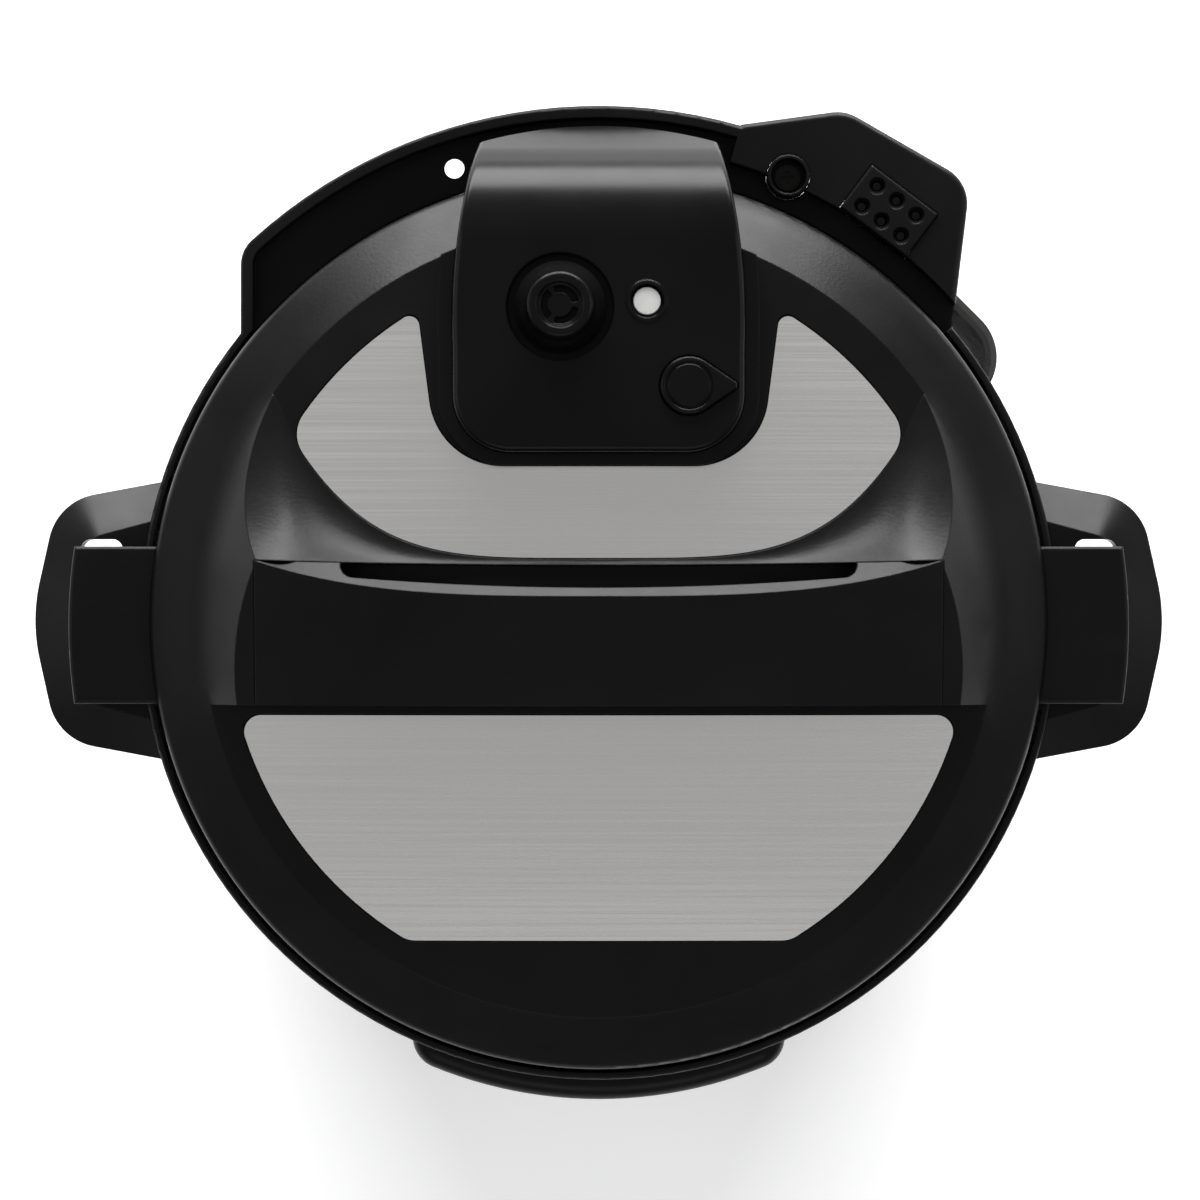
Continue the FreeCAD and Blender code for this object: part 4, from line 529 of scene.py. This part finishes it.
def digit(sign, at, height):
    """Seven-segment digit of a height, centred at a place; its widths are shares of the height."""
    half = height / 2
    side = height * DIGIT_HALF_WIDTH
    ends = {"a": ((-side, half), (side, half)), "g": ((-side, 0), (side, 0)),
            "d": ((-side, -half), (side, -half)), "f": ((-side, 0), (-side, half)),
            "b": ((side, 0), (side, half)), "e": ((-side, -half), (-side, 0)),
            "c": ((side, -half), (side, 0))}
    bands = []
    for name in SEGMENTS[sign]:
        start, end = np.array(ends[name])
        trim = (end - start) * SEGMENT_TRIM
        bands.append(strip(start + trim, end - trim, height * SEGMENT_WIDTH) + np.array(at))
    return bands


window_low, window_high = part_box("display_window")
window_middle = (window_low.z + window_high.z) / 2
bands = []
for place, sign in zip(DIGIT_PLACES, "0030"):
    bands += digit(sign, (place, window_middle), DIGIT_HEIGHT)
for rise in (-COLON_RISE, COLON_RISE):
    level = window_middle + rise
    bands.append(strip((-COLON_HALF, level), (COLON_HALF, level), COLON_WIDTH))
wrapped("display_digits", bands, DIGIT_LIFT, lit_digits, "base")
print("display set with", len(bands), "segments")

# %% [markdown]
# The photograph was taken from straight above with a long lens, so the camera looks down the
# pot's axis from about 1.7 m over the rim. The width of the view at the rim follows from the size
# of the object and the share of the picture that it fills.

# %% Camera
RIM_HEIGHT = float(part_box("upper_collar")[1][2])
CAMERA_DISTANCE = 1.70
CAMERA_X = 0.0004
CAMERA_Y = 0.0062
VIEW_WIDTH = 0.3595
SENSOR = 36.0
camera_data = bpy.data.cameras.new("overhead")
camera_data.sensor_width = SENSOR
camera_data.lens = SENSOR * CAMERA_DISTANCE / VIEW_WIDTH
camera = add_object("overhead", camera_data)
camera.location = (CAMERA_X, CAMERA_Y, RIM_HEIGHT + CAMERA_DISTANCE)
bpy.context.scene.camera = camera
print("lens", round(camera_data.lens, 1), "mm")

# %% [markdown]
# A studio shot of a black object is drawn by what it reflects. One wide soft box stands low behind
# the object, so surfaces that lean to the rear turn grey and flat ones stay dark. Weak boxes at the
# front, left and right keep the rest readable.

# %% Soft boxes


def soft_box(name, place, aim, size, power):
    """Rectangular lamp at a place, turned to face a point."""
    data = bpy.data.lights.new(name, "AREA")
    data.shape = "RECTANGLE"
    data.size, data.size_y = size
    data.energy = power
    lamp = add_object(name, data)
    direction = np.array(place) - np.array(aim)
    direction = direction / np.linalg.norm(direction)
    flat = math.hypot(direction[0], direction[1])
    lamp.rotation_euler = (math.atan2(flat, direction[2]), 0, math.atan2(direction[0], -direction[1]))
    lamp.location = place
    return lamp


LID_AIM = (0, 0, 0.25)
soft_box("rear_box", place=(0.0, 1.50, 0.58), aim=(0, 0, 0.28), size=(1.8, 0.68), power=95)
soft_box("front_box", place=(0.0, -1.2, 1.5), aim=LID_AIM, size=(1.4, 0.8), power=5)
soft_box("left_box", place=(-1.35, 0.1, 1.15), aim=LID_AIM, size=(0.8, 1.2), power=4)
soft_box("right_box", place=(1.35, 0.1, 1.15), aim=LID_AIM, size=(0.8, 1.2), power=4)
print("soft boxes set")

# %% [markdown]
# The floor is a pale sheet that keeps the object's shadow. To read as white paper it also glows a
# little, but only for the camera and for reflections, so the glow puts no light on the object. Far
# from the object the glow grows, and the sheet runs into the white backdrop with no line between.

# %% Floor
FLOOR_REACH = 4.0
FLOOR_GRAIN = 6.0
FLOOR_DARK = (0.89, 0.89, 0.89)
FLOOR_LIGHT = (0.91, 0.91, 0.91)
FLOOR_ROUGHNESS = 0.9
corners = np.array([[-1, -1, 0], [1, -1, 0], [1, 1, 0], [-1, 1, 0]]) * FLOOR_REACH
floor_mesh = bpy.data.meshes.new("floor")
floor_mesh.from_pydata(corners, [], [(0, 1, 2, 3)])
floor = add_object("floor", floor_mesh)
floor_paint = Finish("floor_paint", FLOOR_LIGHT, FLOOR_ROUGHNESS)
floor_grain = floor_paint.noise(FLOOR_GRAIN)
floor_paint.link(floor_paint.ramp(floor_grain, FLOOR_DARK, FLOOR_LIGHT), "Base Color")
floor_paint.set("Specular IOR Level", 0.0)
floor_mesh.materials.append(floor_paint.material)
print("floor reaches", FLOOR_REACH, "m")

# %% Glow of the floor
NEAR_GLOW = 0.26
FAR_GLOW = 0.75
NEAR_REACH = 0.6
FAR_REACH = 1.8


def math_node(tree, operation, first, second):
    """Two values added or multiplied by a node."""
    node = tree.nodes.new("ShaderNodeMath")
    node.operation = operation
    tree.links.new(first, node.inputs[0])
    tree.links.new(second, node.inputs[1])
    return node


def seen_by(tree, *rays):
    """Value that is 1 for the named kinds of ray and 0 for the rest."""
    outputs = tree.nodes.new("ShaderNodeLightPath").outputs
    total = outputs[rays[0]]
    for ray in rays[1:]:
        add = math_node(tree, "ADD", total, outputs[ray])
        add.use_clamp = True
        total = add.outputs[0]
    return total


floor_tree = floor_paint.tree
distance = floor_tree.nodes.new("ShaderNodeVectorMath")
distance.operation = "LENGTH"
floor_tree.links.new(floor_paint.place, distance.inputs[0])
fade = floor_tree.nodes.new("ShaderNodeMapRange")
fade.interpolation_type = "SMOOTHSTEP"
fade.inputs["From Min"].default_value = NEAR_REACH
fade.inputs["From Max"].default_value = FAR_REACH
fade.inputs["To Min"].default_value = NEAR_GLOW
fade.inputs["To Max"].default_value = FAR_GLOW
floor_tree.links.new(distance.outputs["Value"], fade.inputs["Value"])
shown = seen_by(floor_tree, "Is Camera Ray", "Is Glossy Ray", "Is Transmission Ray")
glow = math_node(floor_tree, "MULTIPLY", shown, fade.outputs["Result"])
floor_paint.set("Emission Color", (1.0, 1.0, 1.0, 1.0))
floor_paint.link(glow.outputs[0], "Emission Strength")
print("floor glows from", NEAR_GLOW, "to", FAR_GLOW)

# %% [markdown]
# The world gives an even grey light from all round, and shows itself as a white backdrop only to the
# camera and through clear plastic. The picture is shown with the plain Standard view, so a colour
# renders about as it is written.

# %% World
AMBIENT = 0.41
AMBIENT_BLUE = 1.01
WHITE = (1.0, 1.0, 1.0, 1.0)
world = bpy.data.worlds.new("studio")
bpy.context.scene.world = world
world.use_nodes = True
world_tree = world.node_tree
ambient = world_tree.nodes["Background"]
ambient.inputs["Color"].default_value = (AMBIENT, AMBIENT, AMBIENT * AMBIENT_BLUE, 1.0)
backdrop = world_tree.nodes.new("ShaderNodeBackground")
backdrop.inputs["Color"].default_value = WHITE
choose = world_tree.nodes.new("ShaderNodeMixShader")
world_tree.links.new(seen_by(world_tree, "Is Camera Ray", "Is Transmission Ray"), choose.inputs["Fac"])
world_tree.links.new(ambient.outputs["Background"], choose.inputs[1])
world_tree.links.new(backdrop.outputs["Background"], choose.inputs[2])
world_tree.links.new(choose.outputs["Shader"], world_tree.nodes["World Output"].inputs["Surface"])
bpy.context.scene.view_settings.view_transform = "Standard"
print("world set at", AMBIENT)
